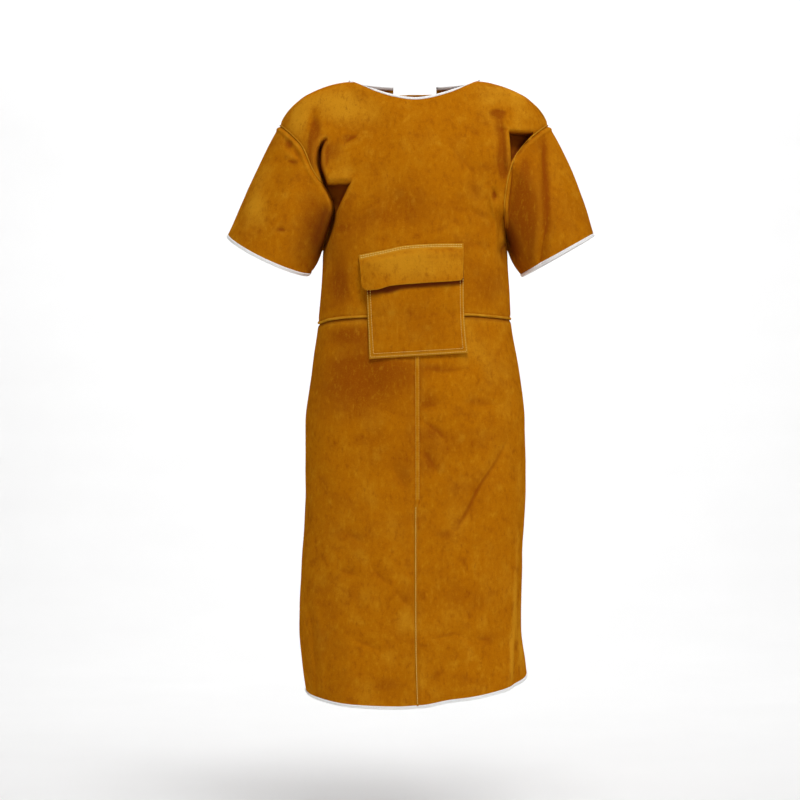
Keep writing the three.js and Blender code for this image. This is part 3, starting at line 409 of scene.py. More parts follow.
class ApronColours(bpy.types.PropertyGroup):
    """Colours of the finishes."""

    suede: colour_field("Suede", "Main colour of the napped leather", (0.46, 0.146, 0.002))
    # Deep suede is the suede's darker mottle and also painted shade in hollows and shaded patches
    deep: colour_field("Deep suede", "Colour of the worn and shaded patches", (0.26, 0.054, 0.002))
    # Crease is painted shade: the colour laid deep inside creases, under the flap and under the waist welt
    crease: colour_field("Crease", "Colour deep inside a crease", (0.14, 0.026, 0.004))
    # Bright suede is the raised nap and also painted highlight on ridges and on the lighter patches
    bright: colour_field("Bright suede", "Colour of the raised nap", (0.62, 0.270, 0.012))
    edge: colour_field("Cut edge", "Colour of the cut edges of the leather", (0.62, 0.31, 0.024))
    welt: colour_field("Welt", "Colour of the rolled welts", (0.58, 0.27, 0.016))
    thread: colour_field("Thread", "Colour of the sewing thread", (0.85, 0.64, 0.17))
    tape: colour_field("Binding", "Colour of the edge binding", (0.94, 0.93, 0.92))
    soil: colour_field("Soil", "Colour of the soiled tape", (0.74, 0.70, 0.64))
    old_thread: colour_field("Old thread", "Colour of the binding's worn thread", (0.7, 0.66, 0.6))
    clasp: colour_field("Clasp", "Colour of the clasps", (0.025, 0.024, 0.022))
    worn_clasp: colour_field("Worn clasp", "Colour of the clasps' worn places", (0.06, 0.058, 0.055))
    floor: colour_field("Floor", "Colour of the floor and backdrop", (0.86, 0.86, 0.86))


def sizes():
    return bpy.context.scene.apron_sizes


def colours():
    return bpy.context.scene.apron_colours


def half_leather():
    """Half the thickness of the leather, in millimetres."""
    return sizes().thickness / MM / 2


# Curves and grids. Grids hold points in millimetres, in rows and columns.

def spline(keys, values, at):
    """Smooth curve through a table of values that never overshoots them."""
    keys = np.asarray(keys, float)
    values = np.asarray(values, float)
    at = np.asarray(at, float)
    column = (slice(None),) + (None,) * (values.ndim - 1)
    steps = np.diff(keys)
    rises = np.diff(values, axis=0) / steps[column]
    before, after = rises[:-1], rises[1:]
    same = before * after > 0
    slopes = np.zeros_like(values)
    slopes[1:-1] = np.where(same, 2 * before * after / np.where(same, before + after, 1), 0)

    def end_slope(near, far, first, second):
        slope = ((2 * near + far) * first - near * second) / (near + far)
        return np.where(slope * first <= 0, 0, slope)

    slopes[0] = end_slope(steps[0], steps[1], rises[0], rises[1])
    slopes[-1] = end_slope(steps[-1], steps[-2], rises[-1], rises[-2])
    x = np.clip(at.ravel(), keys[0], keys[-1])
    k = np.clip(np.searchsorted(keys, x) - 1, 0, len(steps) - 1)
    u = ((x - keys[k]) / steps[k])[column]
    v = 1 - u
    step = steps[k][column]
    start = v * v * ((1 + 2 * u) * values[k] + u * step * slopes[k])
    end = u * u * ((1 + 2 * v) * values[k + 1] - v * step * slopes[k + 1])
    return (start + end).reshape(at.shape + values.shape[1:])


def smoothstep(value, low, high):
    """Soft step from 0 at low to 1 at high."""
    share = np.clip((value - low) / (high - low), 0, 1)
    return share * share * (3 - 2 * share)


def unit(vectors):
    return vectors / np.maximum(np.linalg.norm(vectors, axis=-1, keepdims=True), 1e-9)


def mix(a, b, share):
    return a + (b - a) * share


def run_along(points, axis=0):
    """Distance of each point from the start of its line."""
    steps = np.diff(points, axis=axis, prepend=np.take(points, [0], axis=axis))
    return np.cumsum(np.linalg.norm(steps, axis=-1), axis=axis)


def along_line(at, run, values):
    """Points or directions at distances along a line."""
    return np.stack([np.interp(at, run, values[:, axis]) for axis in range(3)], axis=-1)


def form(column, drop):
    """One measure of the body at a drop."""
    return spline(FORM[:, DROP], FORM[:, column], drop)


def ring(drop, angle):
    """Point of the body at a drop; angle 0 is the middle front and a quarter turn the right side."""
    drop, angle = np.broadcast_arrays(np.asarray(drop, float), np.asarray(angle, float))
    half = np.where(angle < 0, form(LEFT, drop), form(RIGHT, drop))
    deep = np.where(np.cos(angle) > 0, form(FRONT, drop), form(REAR, drop))

    def shaped(value):
        return np.sign(value) * np.abs(value) ** (2 / SQUARENESS)

    return np.stack([half * shaped(np.sin(angle)), -deep * shaped(np.cos(angle)), -drop], axis=-1)


def angle_at(drop, distance, sign, is_back):
    """Angle of the point of the body at a distance from its middle plane."""
    half = form(LEFT if sign < 0 else RIGHT, drop)
    angle = np.arcsin((distance / half) ** (SQUARENESS / 2))
    return sign * (np.pi - angle if is_back else angle)


def chest_line(row, places):
    """Cross line of the chest, from -1 at the left armhole to 1 at the right one."""
    _, rounding, middle, neck, shoulder, (left_x, right_x, arm_y, arm_z) = row
    middle, neck, shoulder = (np.array(p, float) for p in (middle, neck, shoulder))
    distance = np.abs(places)
    keys = (-NECK_PLACE, 0, NECK_PLACE, SHOULDER_PLACE, 1)
    mirrored = neck * (-1, 1, 1)
    left, right = (
        spline(keys, np.array([mirrored, middle, neck, shoulder, (arm_x, arm_y, arm_z)]), distance)
        for arm_x in (left_x, right_x))
    point = np.where((places < 0)[:, None], left, right)
    turn = np.minimum(distance / NECK_PLACE, 1) * (np.pi / 2)
    neckline = np.stack([
        neck[0] * np.sin(turn),
        neck[1] + (middle[1] - neck[1]) * np.cos(turn),
        middle[2] + (neck[2] - middle[2]) * np.sin(turn) ** NECKLINE_RISE,
    ], axis=-1)
    point = np.where((distance < NECK_PLACE)[:, None], mix(point, neckline, rounding), point)
    point[:, 0] *= np.sign(places)
    return point


def back_line(row, sign, places):
    """Cross line of a back half, from 0 at the armhole to 1 at the opening."""
    _, rounding, opening, neck, shoulder, (left_x, right_x, arm_y, arm_z) = row
    opening, neck, shoulder = (np.array(p, float) for p in (opening, neck, shoulder))
    arm = (left_x if sign < 0 else right_x, arm_y, arm_z)
    keys = (0, BACK_SHOULDER_PLACE, BACK_NECK_PLACE, 1)
    point = spline(keys, np.array([arm, shoulder, neck, opening]), places)
    share = np.clip((places - BACK_NECK_PLACE) / (1 - BACK_NECK_PLACE), 0, 1)
    last_turn = np.pi - np.arcsin(opening[0] / neck[0])
    turn = mix(np.pi / 2, last_turn, share)
    reach = np.cos(turn) / np.cos(last_turn)
    neckline = np.stack([
        neck[0] * np.sin(turn), mix(neck[1], opening[1], reach), mix(neck[2], opening[2], reach)], axis=-1)
    point = np.where((places > BACK_NECK_PLACE)[:, None], mix(point, neckline, rounding), point)
    point[:, 0] *= sign
    return point


def fold_push(panel, grid):
    """Push of the folds along +Y at each point, fading where the panel turns to the side."""
    x, y, z = np.moveaxis(grid, -1, 0)
    valley, ridge = np.zeros(x.shape), np.zeros(x.shape)
    for corners in TUCKS.get(panel, ()):
        valley = np.maximum(valley, tuck_push(np.array(corners, float), x, z))
    x, z = (x + sum(high * np.sin(z / long + first) for high, long, first in FOLD_WAVES),
            z + sum(high * np.sin(x / long + 2 * first) for high, long, first in FOLD_WAVES))
    for depth, left, right, path in FOLDS[panel]:
        path = smooth_path(path)
        reach = FOLD_REACH * max(left, right)
        low, high = path.min(axis=0) - reach, path.max(axis=0) + reach
        near = (x > low[0]) & (x < high[0]) & (z > low[1]) & (z < high[1]) & (y < 0)
        if near.any():
            sharpness = CREASE_SHARPNESS if depth > CREASE_DEPTH else FOLD_SHARPNESS
            push = depth * fold_profile(np.stack([x[near], z[near]], axis=-1), path, left, right, sharpness)
            valley[near] = np.maximum(valley[near], push)
            ridge[near] = np.minimum(ridge[near], push)
    return (valley + ridge) * smoothstep(-y, 0, FOLD_FADE)


def smooth_path(path):
    """Finer path through the points of a fold."""
    path = np.array(path, float)
    run = run_along(path[:, :2])
    return spline(run, path, np.linspace(0, run[-1], PATH_STEPS * len(path)))


def fold_profile(spots, path, left, right, sharpness):
    """Share of a fold's depth at each spot, with its own width on each side of the path."""
    run = np.diff(path[:, :2], axis=0)
    off = spots[:, None] - path[None, :-1, :2]
    share = np.clip((off * run).sum(axis=-1) / (run * run).sum(axis=-1), 0, 1)
    off = off - share[..., None] * run
    distance = np.linalg.norm(off, axis=-1)
    spot = np.arange(len(spots))
    k = distance.argmin(axis=1)
    distance = distance[spot, k]
    side = run[k, 0] * off[spot, k, 1] - run[k, 1] * off[spot, k, 0]
    side = side / np.maximum(np.linalg.norm(run[k], axis=-1) * distance, 1e-6)
    strength = mix(path[k, 2], path[k + 1, 2], share[spot, k])
    width = mix(left, right, smoothstep(side, -1, 1))
    return strength * np.exp(-(distance / width) ** sharpness)


def tuck_push(corners, x, z):
    """Depth of a three-cornered tuck: flat inside, with sharp edges."""
    (x1, z1), (x2, z2), (x3, z3) = corners[:, :2]
    area = (x2 - x1) * (z3 - z1) - (x3 - x1) * (z2 - z1)
    shares = np.stack([
        (x2 - x) * (z3 - z) - (x3 - x) * (z2 - z),
        (x3 - x) * (z1 - z) - (x1 - x) * (z3 - z),
        (x1 - x) * (z2 - z) - (x2 - x) * (z1 - z)], axis=-1) / area
    opposite = np.linalg.norm(np.roll(corners, -1, axis=0) - np.roll(corners, 1, axis=0), axis=-1)
    inside = (shares * (abs(area) / opposite)).min(axis=-1)
    return smoothstep(inside, *TUCK_EDGE) * np.clip(shares @ corners[:, 2], 0, None)


def wandered(points):
    """Points moved with the small wander of the waist and centre seams."""
    x, y, z = np.moveaxis(points, -1, 0)
    rise = spline(*WAIST_WANDER.T, x) * np.exp(-((z + WAIST_DROP) / WANDER_REACH[0]) ** 2)
    shift = spline(*CENTRE_WANDER.T, z) * np.exp(-(x / WANDER_REACH[1]) ** 2)
    shift = shift * smoothstep(-z, WAIST_DROP - CENTRE_LEAD, WAIST_DROP)
    moved = (x + shift * smoothstep(-y, *CENTRE_FRONT), y, z + rise * smoothstep(-y, *WAIST_FRONT))
    return np.stack(moved, axis=-1)


def grid_normals(grid, wraps=False):
    """Normals of a grid, turned to point out of the garment."""
    if wraps:
        across = np.roll(grid, -1, axis=1) - np.roll(grid, 1, axis=1)
        middle = grid.mean(axis=1, keepdims=True)
    else:
        across = np.gradient(grid, axis=1)
        middle = np.zeros(3)
    along = np.gradient(grid, axis=0)
    normals = unit(np.cross(across, along))
    outward = (grid - middle) * (1, 1, 0)
    return normals if (normals * outward).sum() > 0 else -normals


def swell(points):
    """Height of the unevenness at each point."""
    flat = points.reshape(-1, 3)
    total = np.zeros(len(flat))
    for size, height in SWELLS:
        total += height * np.fromiter((noise.noise(Vector(p / size)) for p in flat), float, len(flat))
    return total.reshape(points.shape[:-1])


def hung(grid, wraps=False):
    """The grid with the unevenness of hung leather."""
    return grid + grid_normals(grid, wraps) * swell(grid)[..., None]


def tucked(grid, edges, depth=1.6, reach=5.0, crown=0.0, wraps=False):
    """Turns the sewn edges of a panel in beside a crown, so that a seam reads as a valley beside its welt."""
    normals = grid_normals(grid, wraps)
    push = np.zeros(grid.shape[:2])
    for edge in edges:
        run = run_along(lines_from(grid, edge), 1)
        dip = depth * np.exp(-(run / reach) ** 2) - crown * np.exp(-((run - 2 * reach) / reach) ** 2)
        dip = lines_back(dip, edge)
        push = np.where(np.abs(dip) > np.abs(push), dip, push)
    return grid - normals * push[..., None]


def hollowness(grid, normals, wraps):
    """How far each point lies in a hollow, from -1 on a ridge to 1 in a crease."""
    def softened(values, times):
        for _ in range(times):
            for axis in (0, 1):
                pads = [(0, 0)] * 3
                pads[axis] = (1, 1)
                if wraps and axis:
                    wide = np.pad(values, pads, mode="wrap")
                else:
                    wide = np.pad(values, pads, mode="reflect", reflect_type="odd")
                wide = wide.swapaxes(0, axis)
                values = ((wide[:-2] + 2 * wide[1:-1] + wide[2:]) / 4).swapaxes(0, axis)
        return values

    total = np.zeros(grid.shape[:2])
    for times, height in HOLLOWS:
        total += ((softened(grid, times) - grid) * normals).sum(axis=-1) / height
    return np.clip(total, -1, 1)


def spotted(table, node, grid):
    """Strength at each point of a table's spots on the front."""
    x, y, z = np.moveaxis(grid, -1, 0)
    total = np.zeros(x.shape)
    spots = [spot for panel, spots in table.items() if node.startswith(panel) for spot in spots]
    for middle_x, middle_z, wide, high, strength in spots:
        total += strength * np.exp(-((x - middle_x) / wide) ** 2 - ((z - middle_z) / high) ** 2)
    return total * smoothstep(-y, 0, FOLD_FADE)


def lines_from(grid, edge):
    """The grid as lines that start at an edge and run into the panel."""
    step = -1 if edge.startswith("last") else 1
    return grid[::step].swapaxes(0, 1) if edge.endswith("row") else grid[:, ::step]


def lines_back(lines, edge):
    """The grid again, from its lines."""
    step = -1 if edge.startswith("last") else 1
    return lines.swapaxes(0, 1)[::step] if edge.endswith("row") else lines[:, ::step]


def bodice_levels(side_rows, armhole_rows):
    """Levels of the bodice's rows, from 0 at the waist to 1 at the shoulder."""
    side = np.linspace(0, ARMPIT_LEVEL, side_rows, endpoint=False)
    return np.concatenate([side, np.linspace(ARMPIT_LEVEL, 1, armhole_rows + 1)])


def front_points(places, levels, folded=True):
    keys = [level for level, _ in SIDE_LEVELS] + [row[0] for row in CHEST]
    lines = [ring(drop, places * (np.pi / 2)) for _, drop in SIDE_LEVELS]
    lines += [chest_line(row, places) for row in CHEST]
    grid = spline(keys, np.array(lines), levels)
    if folded:
        grid[..., 1] += fold_push("bodice", grid)
    return grid


def back_points(sign, places, levels):
    keys = [level for level, _ in SIDE_LEVELS] + [row[0] for row in BACK]
    lines = []
    for _, drop in SIDE_LEVELS:
        edge = angle_at(drop, form(OPENING, drop), sign, True)
        lines.append(ring(drop, mix(sign * np.pi / 2, edge, places)))
    lines += [back_line(row, sign, places) for row in BACK]
    return spline(keys, np.array(lines), levels)


@lru_cache(None)
def front_grid():
    """Grid of the chest panel, and the shade inside its creases."""
    shoulder = np.linspace(0, 1 - NECK_PLACE, FRONT_SHOULDER_COLUMNS)
    middle = np.linspace(-NECK_PLACE, NECK_PLACE, FRONT_NECK_COLUMNS)[1:-1]
    places = np.concatenate([-1 + shoulder, middle, 1 - shoulder[::-1]])
    levels = bodice_levels(side_rows=44, armhole_rows=150)
    flat, folded = (front_points(places, levels, folded) for folded in (False, True))
    grid = tucked(hung(wandered(folded)), ("first_row", "first_column", "last_column"))
    return grid, smoothstep((folded - flat)[..., 1], *CREASE_SHADE)


@lru_cache(None)
def back_grid(sign):
    shoulder = np.linspace(0, BACK_NECK_PLACE, BACK_SHOULDER_COLUMNS)
    places = np.concatenate([shoulder, np.linspace(BACK_NECK_PLACE, 1, BACK_NECK_COLUMNS)[1:]])
    levels = bodice_levels(side_rows=30, armhole_rows=60)
    return tucked(hung(wandered(back_points(sign, places, levels))), ("first_row", "first_column"))


@lru_cache(None)
def skirt_grid(sign, columns=150, rows=210):
    """Grid of a skirt half, from the centre seam round to the back."""
    share = np.linspace(0, 1, rows)[:, None]
    step = np.linspace(0, 1, columns)[None, :]
    step = mix(step ** 2, step, FRONT_CLOSENESS)
    rough = mix(WAIST_DROP, HEM[0, 1], share)
    first = angle_at(rough, SEAM_INSET, sign, False)
    last = angle_at(rough, form(OPENING, rough), sign, True)
    angle = mix(first, last, step)
    hem = spline(*HEM.T, np.degrees(angle))
    grid = ring(mix(WAIST_DROP + SEAM_INSET, hem, share), angle)
    grid[..., 1] += fold_push("skirt", grid)
    return tucked(tucked(hung(wandered(grid)), ("first_row",), depth=3.5), ("first_column",))


def armhole(sign, steps, folded=True):
    """Loop of the armhole: from the shoulder down the front to the armpit and up the back."""
    half = ARMHOLE_TURN / 2
    levels = mix(ARMPIT_LEVEL, 1, np.abs(half - steps) / half)
    front = front_points(np.array([float(sign)]), levels, folded)[:, 0]
    back = back_points(sign, np.array([0.0]), levels)[:, 0]
    return np.where((steps <= half)[:, None], front, back)


@lru_cache(None)
def sleeve_grid(sign, columns=196, rows=72, curve_steps=81):
    """Grid of a sleeve, from its armhole to its cuff."""
    (mid_x, mid_y, mid_z), half_wide, half_deep, outer_rise, front_drop, puff, fold = SLEEVES[sign]
    steps = np.arange(columns) * (ARMHOLE_TURN / columns)
    turn = 2 * np.pi * steps / ARMHOLE_TURN
    outer, front = np.cos(turn), np.sin(turn)
    start = armhole(sign, steps, False)
    sunk = (armhole(sign, steps) - start)[:, 1]
    end = np.stack([
        sign * (mid_x + half_wide * outer),
        mid_y - half_deep * front,
        mid_z + outer_rise * outer - front_drop * np.maximum(front, 0),
    ], axis=-1)
    away = unit(start * (1, 1, 0))
    under = (1 - outer) / 2
    reach = fold * under * np.linalg.norm(end - start, axis=-1)
    lead = mix(start, end, SLEEVE_LEAD) + away * reach[:, None]
    lead[:, 0] += sign * puff * 2 * (1 - under)
    hang = start + away * UNDER_ARM[0] - (0, 0, UNDER_ARM[1])
    lead = mix(lead, hang, smoothstep(under, *UNDER_SHARE)[:, None])
    t = np.linspace(0, 1, curve_steps)[:, None, None]
    curve = (1 - t) ** 2 * start + 2 * t * (1 - t) * lead + t * t * end
    run = run_along(curve)
    grid = np.empty((rows, columns, 3))
    for i in range(columns):
        at = mix(SEAM_INSET, run[-1, i], np.linspace(0, 1, rows) ** SLEEVE_SPREAD)
        grid[:, i] = along_line(at, run[:, i], curve[:, i])
        grid[:, i, 1] += sunk[i] * np.exp(-(at / SLEEVE_ROLL) ** 2)
    grid[1:, :, 1] += fold_push("sleeve", grid[1:])
    return tucked(hung(grid, True), ("first_row",), depth=2.0, reach=3.5, crown=2.0, wraps=True)


def centre_line(count=150):
    """Line of the centre seam, from the waist to the hem."""
    drops = np.linspace(WAIST_DROP + CENTRE_WELT_START, float(spline(*HEM.T, 0.0)), count)
    line = ring(drops, 0.0)
    line[:, 1] += fold_push("skirt", line)
    line = wandered(line)
    line[:, 1] -= swell(line)
    return line


@lru_cache(None)
def bound_edges():
    """Edge line, the line beside it and whether it closes, for each binding."""
    def neck(grid, columns):
        return grid[-1, columns], grid[-2, columns]

    left, right = skirt_grid(-1), skirt_grid(1)
    neck_column = FRONT_SHOULDER_COLUMNS - 1
    parts = [neck(back_grid(-1), slice(None, BACK_SHOULDER_COLUMNS - 1, -1)),
             neck(front_grid()[0], slice(neck_column, -neck_column)),
             neck(back_grid(1), slice(BACK_SHOULDER_COLUMNS, None))]
    edges = {
        "neck_binding": (*(np.concatenate(p) for p in zip(*parts)), False),
        "hem_binding": (*(np.concatenate([left[k, ::-1], right[k]]) for k in (-1, -2)), False),
    }
    for side, sign in SIDES:
        grid = sleeve_grid(sign)
        edges[f"cuff_binding_{side}"] = (grid[-1], grid[-2], True)
    return edges


def ray_tree(*names):
    """Search tree over finished pieces, for laying others on them."""
    points, faces = [], []
    for name in names:
        mesh = bpy.data.objects[f"{name}_leather"].data
        first = len(points)
        points.extend(v.co.copy() for v in mesh.vertices)
        faces.extend([first + i for i in p.vertices] for p in mesh.polygons)
    return BVHTree.FromPolygons(points, faces)


def laid_y(tree, x, z, facing):
    """Place along Y of the outermost surface, in millimetres, or None beside it."""
    hits = []
    for shift in (-LAID_SPAN, 0, LAID_SPAN):
        start = Vector((x + shift, facing * RAY_START, z + shift)) * MM
        hit = tree.ray_cast(start, Vector((0, -facing, 0)))[0]
        if hit is not None and facing * hit.y > 0:
            hits.append(facing * hit.y / MM)
    return facing * max(hits) if hits else None


def patch(plan, seat, columns, rows, coarse=15):
    """Grid of a patch: plan gives (x, z) at shares across and down, seat its height over the front wall."""
    tree = ray_tree(*FRONT_WALLS)
    shares = np.linspace(0, 1, coarse)
    found = np.array([[laid_y(tree, *plan(across, down), -1) for across in shares] for down in shares])
    across, down = np.linspace(0, 1, columns), np.linspace(0, 1, rows)
    wall = spline(shares, spline(shares, found.T, across).T, down)
    grid = np.empty((rows, columns, 3))
    for j in range(rows):
        for i in range(columns):
            x, z = plan(across[i], down[j])
            grid[j, i] = (x, wall[j, i] - seat(across[i], down[j]), z)
    return grid


@lru_cache(None)
def pocket_grid(columns=72, rows=70):
    corner = {k: np.array(v, float) for k, v in POCKET_CORNERS.items()}

    def plan(across, down):
        top = mix(corner["tl"], corner["tr"], across)
        bottom = mix(corner["bl"], corner["br"], across)
        point = mix(top, bottom, down)
        return point[0] - POCKET_BOW * across ** 3 * math.sin(math.pi * down ** 1.5), point[1]

    def seat(across, down):
        side_round, foot, foot_round = POCKET_FULLNESS
        sides = math.sin(math.pi * across) ** side_round
        full = min(1, (1 - down) / foot) ** foot_round
        return half_leather() + POCKET_SEAT + POCKET_ROOM * sides * full

    return patch(plan, seat, columns, rows)


def pocket_shade(grid):
    """Painted shadow of the flap: a dark strip of the pocket close under the flap's edge."""
    edge = np.array(FLAP_BOTTOM)
    middle, half_wide, deep = FLAP_DIP
    dip = deep * np.exp(-((grid[..., 0] - middle) / half_wide) ** 2)
    below = np.interp(grid[..., 0], edge[:, 1], edge[:, 2]) - dip - grid[..., 2]
    return smoothstep(-below, -FLAP_SHADE[0], -FLAP_SHADE[1])


def waist_shade(grid):
    """Painted shadow of the waist welt: a dark line of the skirt close under the welt."""
    far, near, share = WAIST_SHADE
    return share * smoothstep(-run_along(grid), -far, -near)


@lru_cache(None)
def flap_grid(columns=110, rows=36):
    top, bottom = np.array(FLAP_TOP), np.array(FLAP_BOTTOM)

    def plan(across, down):
        upper = spline(top[:, 0], top[:, 1:], np.array([across]))[0]
        lower = spline(bottom[:, 0], bottom[:, 1:], np.array([across]))[0]
        return mix(upper, lower, down)

    def seat(across, down):
        end, end_round = FLAP_ENDS
        high, turns, start = FLAP_RIPPLE
        lift = float(smoothstep(down, 0, FLAP_RISE_SHARE))
        middle = math.sin(math.pi * min(max(across, end), 1 - end)) ** end_round
        curl = FLAP_CURL * down ** 3 + high * down ** 2 * math.sin(turns * across + start)
        return half_leather() + FLAP_SEAT + lift * FLAP_LIFT * middle + curl

    return patch(plan, seat, columns, rows)


def strap_grid(height, half_length, width, seat, columns=90, rows=10, coarse=25):
    """Grid of a strap that lies on the back halves and bridges the opening."""
    tree = ray_tree(*BACK_WALLS)
    grid = np.empty((rows, columns, 3))
    keys = np.linspace(-half_length, half_length, coarse)
    for j, z in enumerate(np.linspace(height + width / 2, height - width / 2, rows)):
        found = [(x, laid_y(tree, x, z, 1)) for x in keys]
        held = [(x, y) for x, y in found if y is not None]
        grid[j, :, 0] = np.linspace(-half_length, half_length, columns)
        grid[j, :, 1] = spline(*zip(*held), grid[j, :, 0]) + seat + half_leather()
        grid[j, :, 2] = z
    return grid


# Meshes

def new_piece(name, points, faces, material, node=None, uvs=None, attributes=None):
    """Object at the origin from points in millimetres, riding on the garment's one body."""
    mesh = bpy.data.meshes.new(name)
    mesh.from_pydata((np.asarray(points) * MM).tolist(), [], faces)
    mesh.polygons.foreach_set("use_smooth", np.ones(len(mesh.polygons), bool))
    for key, values in (attributes or {}).items():
        layer = mesh.attributes.new(key, "FLOAT", "POINT")
        layer.data.foreach_set("value", np.asarray(values, np.float32).ravel())
    if uvs is not None:
        layer = mesh.uv_layers.new(name="UVMap")
        corners = np.empty(len(mesh.loops), int)
        mesh.loops.foreach_get("vertex_index", corners)
        layer.data.foreach_set("uv", np.asarray(uvs, np.float32)[corners].ravel())
    if mesh.validate():
        raise RuntimeError(f"{name} has a face that is not sound")
    mesh.materials.append(material)
    piece = bpy.data.objects.new(name, mesh)
    bpy.context.scene.collection.objects.link(piece)
    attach(piece, BODY)
    if node:
        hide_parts(node)
    return piece


def beyond(edge, inner, reach):
    """Points a little past an edge, on the way from the line inside it."""
    return edge + unit(edge - inner) * reach


def rimmed(grid, wraps, reach):
    """The grid with one more row and column past each cut edge."""
    grid = np.concatenate([beyond(grid[:1], grid[1:2], reach), grid, beyond(grid[-1:], grid[-2:-1], reach)])
    if wraps:
        return grid
    first = beyond(grid[:, :1], grid[:, 1:2], reach)
    last = beyond(grid[:, -1:], grid[:, -2:-1], reach)
    return np.concatenate([first, grid, last], axis=1)


def wall_faces(rows, columns, wraps):
    """Faces of a wall between two like grids, the second numbered after the first."""
    count = rows * columns
    index = np.arange(count).reshape(rows, columns)
    right = np.roll(index, -1, axis=1) if wraps else index[:, 1:]
    left = index if wraps else index[:, :-1]
    a, b, c, d = left[:-1], right[:-1], right[1:], left[1:]
    skin = np.stack([a, b, c, d], axis=-1).reshape(-1, 4)
    rims = [(b[0], a[0]), (d[-1], c[-1])]
    if not wraps:
        rims += [(a[:, 0], d[:, 0]), (c[:, -1], b[:, -1])]
    rims = [np.stack([start, end, end + count, start + count], axis=-1) for start, end in rims]
    return np.concatenate([skin, skin[:, ::-1] + count, *rims])


def panel(node, grid, wraps=False, held="hung", rests_on=(), shade=0, darkest=CREASE_SHARE,
          pale_edge=RIM_PALE, bands=()):
    """Leather panel about a grid, with rounded cut edges.

    Shade shuts out the light, up to the darkest share, and bands are pale strips along edges."""
    normals = grid_normals(grid, wraps)
    hollow, patches = hollowness(grid, normals, wraps), spotted(PATCHES, node, grid)
    shade = darkest * np.clip(spotted(SHADES, node, grid) + shade, 0, 1)
    band = np.zeros(hollow.shape)
    for side, width, share in bands:
        run = run_along(lines_from(grid, side), 1)
        band = np.maximum(band, lines_back(share * smoothstep(run, width + 1, width - 1), side))
    grid = rimmed(grid, wraps, sizes().edge / MM)
    pads = [(1, 1), (0, 0) if wraps else (1, 1)]
    normals = np.pad(normals, pads + [(0, 0)], mode="edge")
    taper = np.pad(np.ones(hollow.shape), pads, constant_values=RIM_TAPER)[..., None]
    edge = np.ones(taper.shape[:2]) * pale_edge
    edge[2:-2, slice(None) if wraps else slice(2, -2)] = 0
    hollow, patches, shade, band = (np.pad(v, pads, mode="edge") for v in (hollow, patches, shade, band))
    edge = np.maximum(edge, band)
    off = normals * half_leather() * taper
    points = np.concatenate([(grid + off).reshape(-1, 3), (grid - off).reshape(-1, 3)])
    faces = wall_faces(*grid.shape[:2], wraps)
    first, second, _, fourth = points[faces[0]]
    if np.dot(np.cross(second - first, fourth - first), normals[0, 0]) < 0:
        faces = faces[:, ::-1]
    marks = {
        name: np.concatenate([values.ravel(), inside * values.ravel()])
        for name, values, inside in (
            ("cut_edge", edge, 1), ("hollow", hollow, -1), ("patches", patches, 0), ("shade", shade, 0))
    }
    piece = new_piece(f"{node}_leather", points, faces.tolist(), suede(), node, attributes=marks)
    width, length, area = next(cut for name, cut in CUTS.items() if node.startswith(name))


def tube_faces(count, sides, closed=False):
    """Faces of a tube of rings, capped at its ends unless it closes on itself."""
    index = np.arange(count * sides).reshape(count, sides)
    here = index if closed else index[:-1]
    there = np.roll(index, -1, axis=0) if closed else index[1:]
    faces = np.stack([here, np.roll(here, -1, axis=1), np.roll(there, -1, axis=1), there], axis=-1)
    faces = faces.reshape(-1, 4).tolist()
    return faces if closed else faces + [index[0, ::-1].tolist(), index[-1].tolist()]


def sweep(node, stations, section, material, closed):
    """Body swept along stations of (points, across, up) in millimetres."""
    points, across, up = stations
    section = np.asarray(section, float)
    body = points[:, None] + across[:, None] * section[None, :, :1] + up[:, None] * section[None, :, 1:]
    body = body.reshape(-1, 3)
    faces = tube_faces(len(points), len(section), closed)
    corners = ((f[0], f[i], f[i + 1]) for f in faces for i in range(1, len(f) - 1))
    volume = sum(np.dot(body[a], np.cross(body[b], body[c])) for a, b, c in corners)
    if volume < 0:
        faces = [f[::-1] for f in faces]
    run, around = run_along(points) * MM, run_along(section) * MM
    uvs = np.stack(np.broadcast_arrays(run[:, None], around[None]), axis=-1).reshape(-1, 2)
    new_piece(f"{node}_strip", body, faces, material, node, uvs=uvs)


def choose(piece, kind, wanted):
    """Selects the edges or faces of a piece that are wanted, in edit mode."""
    bpy.ops.object.mode_set(mode="EDIT")
    bpy.ops.mesh.select_mode(type=kind)
    bpy.ops.mesh.select_all(action="DESELECT")
    bpy.ops.object.mode_set(mode="OBJECT")
    for part in piece.data.edges if kind == "EDGE" else piece.data.polygons:
        part.select = wanted(part)
    bpy.ops.object.mode_set(mode="EDIT")


def tangents(points, closed):
    if closed:
        return unit(np.roll(points, -1, axis=0) - np.roll(points, 1, axis=0))
    return unit(np.gradient(points, axis=0))


def stations_from(points, outward, closed):
    """Stations whose up points out of the garment."""
    along = tangents(points, closed)
    across = unit(np.cross(along, outward))
    return points, across, unit(np.cross(across, along))


def edge_stations(edge, inner, closed):
    """Stations along a free edge, whose across points off the leather."""
    along = tangents(edge, closed)
    away = edge - inner
    away = unit(away - along * (away * along).sum(axis=-1, keepdims=True))
    return edge, away, unit(np.cross(along, away))


def rounded_section(half_wide, half_high, sides=12):
    turn = np.linspace(0, 2 * np.pi, sides, endpoint=False)
    return np.stack([half_wide * np.cos(turn), half_high * np.sin(turn)], axis=-1)


